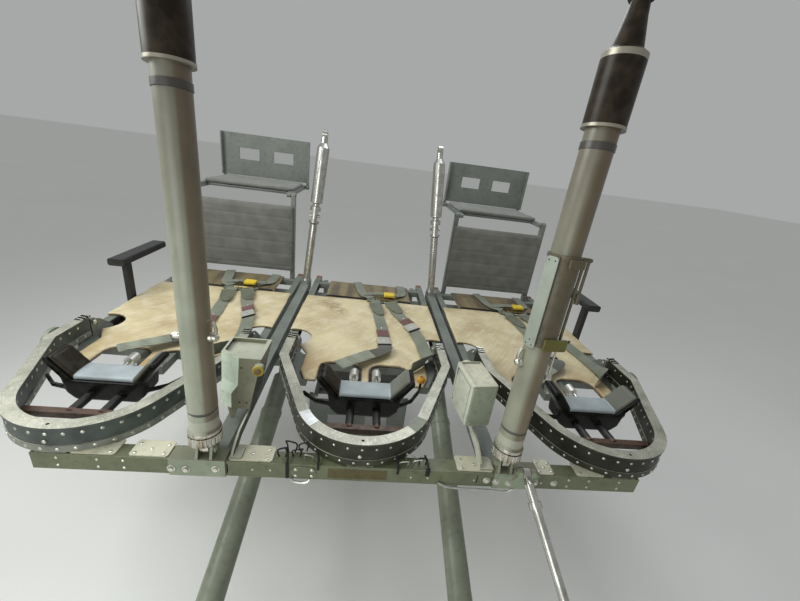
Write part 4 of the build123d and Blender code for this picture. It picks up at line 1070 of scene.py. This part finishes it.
def dress_beam():
    """Rivets on the cream plates, bolts on the clevises, and the small fittings along the beam's front."""
    steel = Form()
    plate_top = beam_top + 3
    for low_x, high_x in ((-615, -525), (-498, -418), (-291, -197), (228, 316), (428, 469), (528, 600)):
        for share, y in ((0.13, 10), (0.87, 10), (0.5, 22), (0.13, 36), (0.87, 36)):
            rivet(steel, (low_x + share * (high_x - low_x), y, plate_top), upward, 4, 1.8)
    for x, z in ((-409, -88), (-378, -89), (-316, -85), (324, -86), (356, -90), (420, -84)):
        bolt(steel, (x, -4, z), headward, 6.5, 5)
    for x in (302, 472):
        bolt(steel, (x, 0, -88), headward, 6.5, 5)
    for x in (-640, -560, -508, 508, 560, 640):
        for z in (-77, -97):
            rivet(steel, (x, 0, z), headward, 3.6, 1.8)
    for x in (-239, -200, 120, 160, 272, 440):
        rivet(steel, (x, 0, -87 if x < 0 else -90), headward, 2.8, 1.2)
    steel.piece("beam_rivets", "rivet_steel")

    patch = slab(Form(), (-5, 0, -87), *front_axes, rectangle(-68, 68, -14, 13), 0.8, 0.3)
    patch.piece("beam_patch", "amber_patch")

    plate_x = -126
    plate_z = -88
    plate = slab(Form(), (plate_x, 0, plate_z), *front_axes, rectangle(-27, 27, -17, 17, 11), 2.4)
    plate.piece("beam_oval_plate", "beam_paint")
    heads = Form()
    for u in (-18, 18):
        for v in (-9, 9):
            rivet(heads, (plate_x + u, -2.4, plate_z + v), headward, 4.4, 2)
    heads.piece("oval_plate_rivets", "rivet_steel")

    clips = Form()
    for x, low_z, half in ((-163, -22, 3.5), (-95, 6, 2.5), (87, 4, 2.5), (157, 2, 5)):
        slab(clips, (x, 0, -84), *front_axes, rectangle(-half, half, low_z, 26), 3)
        wire(clips, ((x, -1, -62), (x, 4, -57), (x - 3, 16, -52), (x - 8, 24, -44)), 2.6)
    for place, tall, lean in (
        ((-178, 22), 30, 10), ((-160, 36), 36, -12), ((-146, 24), 26, 12), ((-134, 40), 30, 6),
        ((146, 18), 22, -10),
    ):
        wire_loop(clips, place, tall, lean, 1.8, -3, 3, 0.6)
    clips.piece("beam_clips", "black_rubber")

    binding = wire(Form(), (
        (-196, 989, -62), (-186, 991, -58), (-60, 991, -59), (70, 992, -58), (186, 991, -59), (196, 989, -63),
    ), 4)
    for name in couch_x:
        binding.on_couch(name, "pan_binding", "black_rubber")

    loops = Form()
    for place, tall, lean in (
        ((100, 8), 20, 8), ((116, 24), 26, -8), ((132, 12), 22, 8), ((-118, 14), 20, -6),
    ):
        wire_loop(loops, place, tall, lean, 1.2, -2, -2, 0.66)
    wire(loops, ((-154, -4, -103), (-148, -5, -111), (-133, -6, -113), (-118, -6, -111), (-112, -4, -103)), 3)
    wire(loops, (
        (185, -3, -99), (206, -5, -108), (229, -5, -112), (279, -5, -113), (316, -5, -114), (352, -5, -117),
        (372, -6, -107),
    ), 2.6)
    loops.piece("beam_wire_loops", "pale_wire")


dress_beam()


def strut_place(distance, angle, radius, side=1):
    """Point round a head strut: that far up from its foot, at an angle, with the way out there."""
    direction = (strut_top - strut_foot).normalized()
    first = Vector((1, 0, 0))
    first = (first - direction * first.dot(direction)).normalized()
    second = direction.cross(first)
    out = first * math.cos(math.radians(angle)) + second * math.sin(math.radians(angle))
    place = strut_foot + direction * distance + out * radius
    if side < 0:
        return mirrored_x(place), mirrored_x(out), mirrored_x(direction)
    return place, out, direction


def dress_struts():
    """Valves on both head struts, a plug on the left one, and the fittings of the right one's guard."""
    metal = Form()
    for side in (-1, 1):
        place, out, direction = strut_place(264, 186, 29, side)
        turned(metal, place, out, ((-1, 10), (5, 10), (6, 8), (12, 8), (16, 4)), sides=16)
        lever = [place + out * rise + direction * far for rise, far in ((7, 0), (12, 16), (7, 34))]
        wire(metal, lever, 3.6)
    place, out, direction = strut_place(268, -12, 29, -1)
    turned(metal, place, out, ((-1, 7), (8, 7), (12, 5)), sides=12)
    place, out, direction = strut_place(408, 208, 36)
    across = direction.cross(out)
    strip = slab(Form(), place, across, direction, rectangle(-14, 14, -101, 92, 6), 1.6)
    strip.piece("guard_strip", "strip_paint")
    dark = Form()
    for along, u in ((-94, -7), (-94, 7), (-84, 0), (84, -7), (84, 7)):
        rivet(dark, place + out * 1.4 + direction * along + across * u, out, 1.8, 0.6)
    for distance in (316, 501):
        place, out, direction = strut_place(distance, -25, 33.6)
        for step in (-5, 5):
            rivet(dark, place + direction.cross(out) * step, out, 1.8, 0.8)
    dark.piece("guard_screws", "black_rubber")
    for name, look, distance, low_u, high_u, half in (
        ("guard_tab", "olive_paint", 322, -18, 38, 13), ("guard_catch", "guard_paint", 492, -14, 22, 9),
    ):
        place, out, direction = strut_place(distance, -80, 34)
        outline = rectangle(low_u, high_u, -half, half, 3)
        slab(Form(), place, direction.cross(out), direction, outline, 4).piece(name, look)
    place, out, direction = strut_place(240, -10, 36)
    rod = [place + out * rise + direction * far for rise, far in ((3, 0), (3, 34), (4, 68))]
    wire(metal, rod, 2.2)
    turned(metal, place + out * 3 - direction * 4, out, ((-6, 7), (6, 7), (7, 6)), sides=14)
    metal.piece("strut_fittings", "rivet_steel")


dress_struts()


def dress_boxes():
    """Screws, seams and plugs on the two boxes beside the centre couch, and the headrests' knobs."""
    metal = Form()
    dark = Form()
    for y in (102, 184):
        for z in (6, 98):
            rivet(metal, (252, y, z), (-1, 0, 0), 2.6, 1)
            rivet(metal, (321, y, z), (1, 0, 0), 3.4, 2)
    for x in (262, 311):
        for z in (0, 103):
            rivet(metal, (x, 88, z), headward, 2.4, 1)
    for y in (106, 146, 184):
        turned(metal, (321, y, 34), (1, 0, 0), ((0, 3.6), (5, 3.6), (6, 2.6)), sides=8)
    corners = ((252.4, 102, 4), (252.4, 102, 102), (252.4, 188, 102), (252.4, 188, 4))
    for low, high in zip(corners, corners[1:]):
        middle = (Vector(low) + Vector(high)) / 2
        wire(dark, (low, middle, high), 0.8, sides=6, steps=1)
    corner = Matrix.Translation((252, 88, 0))
    yaw = corner @ Matrix.Rotation(math.radians(8), 4, "Z") @ corner.inverted()
    metal.moved(yaw).piece("box_screws", "rivet_steel")
    seams = dark.moved(yaw)
    for x, z in ((-292, 104), (-300, 6), (-284, 6)):
        rivet(seams, (x, 110, z), headward, 2.4, 0.5)
    seams.piece("box_seams", "black_rubber")
    knob = turned(Form(), (-251, 98, 108), headward, ((-0.5, 13.4), (3, 13.4), (5, 12), (5, 8)), sides=24)
    knob.piece("box_knob", "yellow_knob")
    cap = turned(Form(), (-251, 94, 108), headward, ((0, 8), (3, 8), (4, 6.5)), sides=20)
    cap.piece("box_knob_cap", "brown_cap")
    steps = 10
    angles = [math.pi * step / steps for step in range(steps + 1)]
    ball_rows = [(12 - 12.4 * math.cos(angle), 0.4 + 12.3 * math.sin(angle)) for angle in angles]
    ball = turned(Form(), (168, 296, -33), upward, ball_rows, sides=18)
    for name in couch_x:
        ball.on_couch(name, "headrest_knob", "amber_knob", body=name + "_headrest")


dress_boxes()


def finish_cad_nodes():
    """Gives each carried-over CAD node its material."""
    by_name = {
        "left_ring_frame": "ring_alloy_left", "right_ring_frame": "ring_alloy_right",
        "side_box_left": "box_paint_left", "side_box_right": "box_paint_right",
        "headrest_rails": "headrest_rails", "strut_clevises": "clevis_paint",
    }
    for name in couch_x:
        by_name[name + "_back_frame"] = "back_frame_paint"
    slots = {row["node"]: row["material_slot"] for row in frame["record"]["subparts"]}
    for name, node in frame["nodes"].items():
        look = looks[by_name.get(name, slots[name])]
        if not node.material_slots:
            node.data.materials.append(look)
        for slot in node.material_slots:
            slot.material = look


finish_cad_nodes()


def make_stage():
    """Pale floor and soft studio light from above, with a little fill from the camera's side."""
    reach = 40
    floor_z = cad_low.z - 0.02
    corners = [(x * reach, y * reach, floor_z) for x, y in ((-1, -1), (1, -1), (1, 1), (-1, 1))]
    mesh = bpy.data.meshes.new("floor")
    mesh.from_pydata(corners, [], [(0, 1, 2, 3)])
    linked("floor", mesh)
    look = Look("floor", roughness=0.8)
    look.colour = look.mixed((0.8, 0.8, 0.78), (0.85, 0.85, 0.83), look.clouds(900, 3))
    look.done()
    mesh.materials.append(looks["floor"])

    world = bpy.data.worlds.new("studio")
    bpy.context.scene.world = world
    world.use_nodes = True
    background = world.node_tree.nodes["Background"]
    background.inputs["Color"].default_value = (0.86, 0.88, 0.88, 1)
    background.inputs["Strength"].default_value = 0.45

    lamps = (
        # name, couch point it stands at, couch point it aims at, watts, size in metres, colour
        ("key", (-1400, 200, 1300), (0, 350, -60), 27, 1.0, (0.97, 1.0, 0.97)),
        ("sky", (300, 1300, 1700), (100, 400, -60), 15, 1.2, (0.92, 0.97, 1.0)),
        ("front", (-900, -1500, 300), (0, 100, 0), 13, 1.2, (0.97, 1.0, 0.93)),
    )
    for name, stand, aim, watts, size, colour in lamps:
        data = bpy.data.lights.new(name, "AREA")
        data.energy = watts
        data.size = size
        data.color = colour
        lamp = linked(name, data)
        lamp.location = couch_point(*stand)
        direction = couch_point(*aim) - lamp.location
        lamp.rotation_euler = direction.to_track_quat("-Z", "Y").to_euler()
    bpy.context.scene.view_settings.view_transform = "Standard"


make_camera()
make_stage()
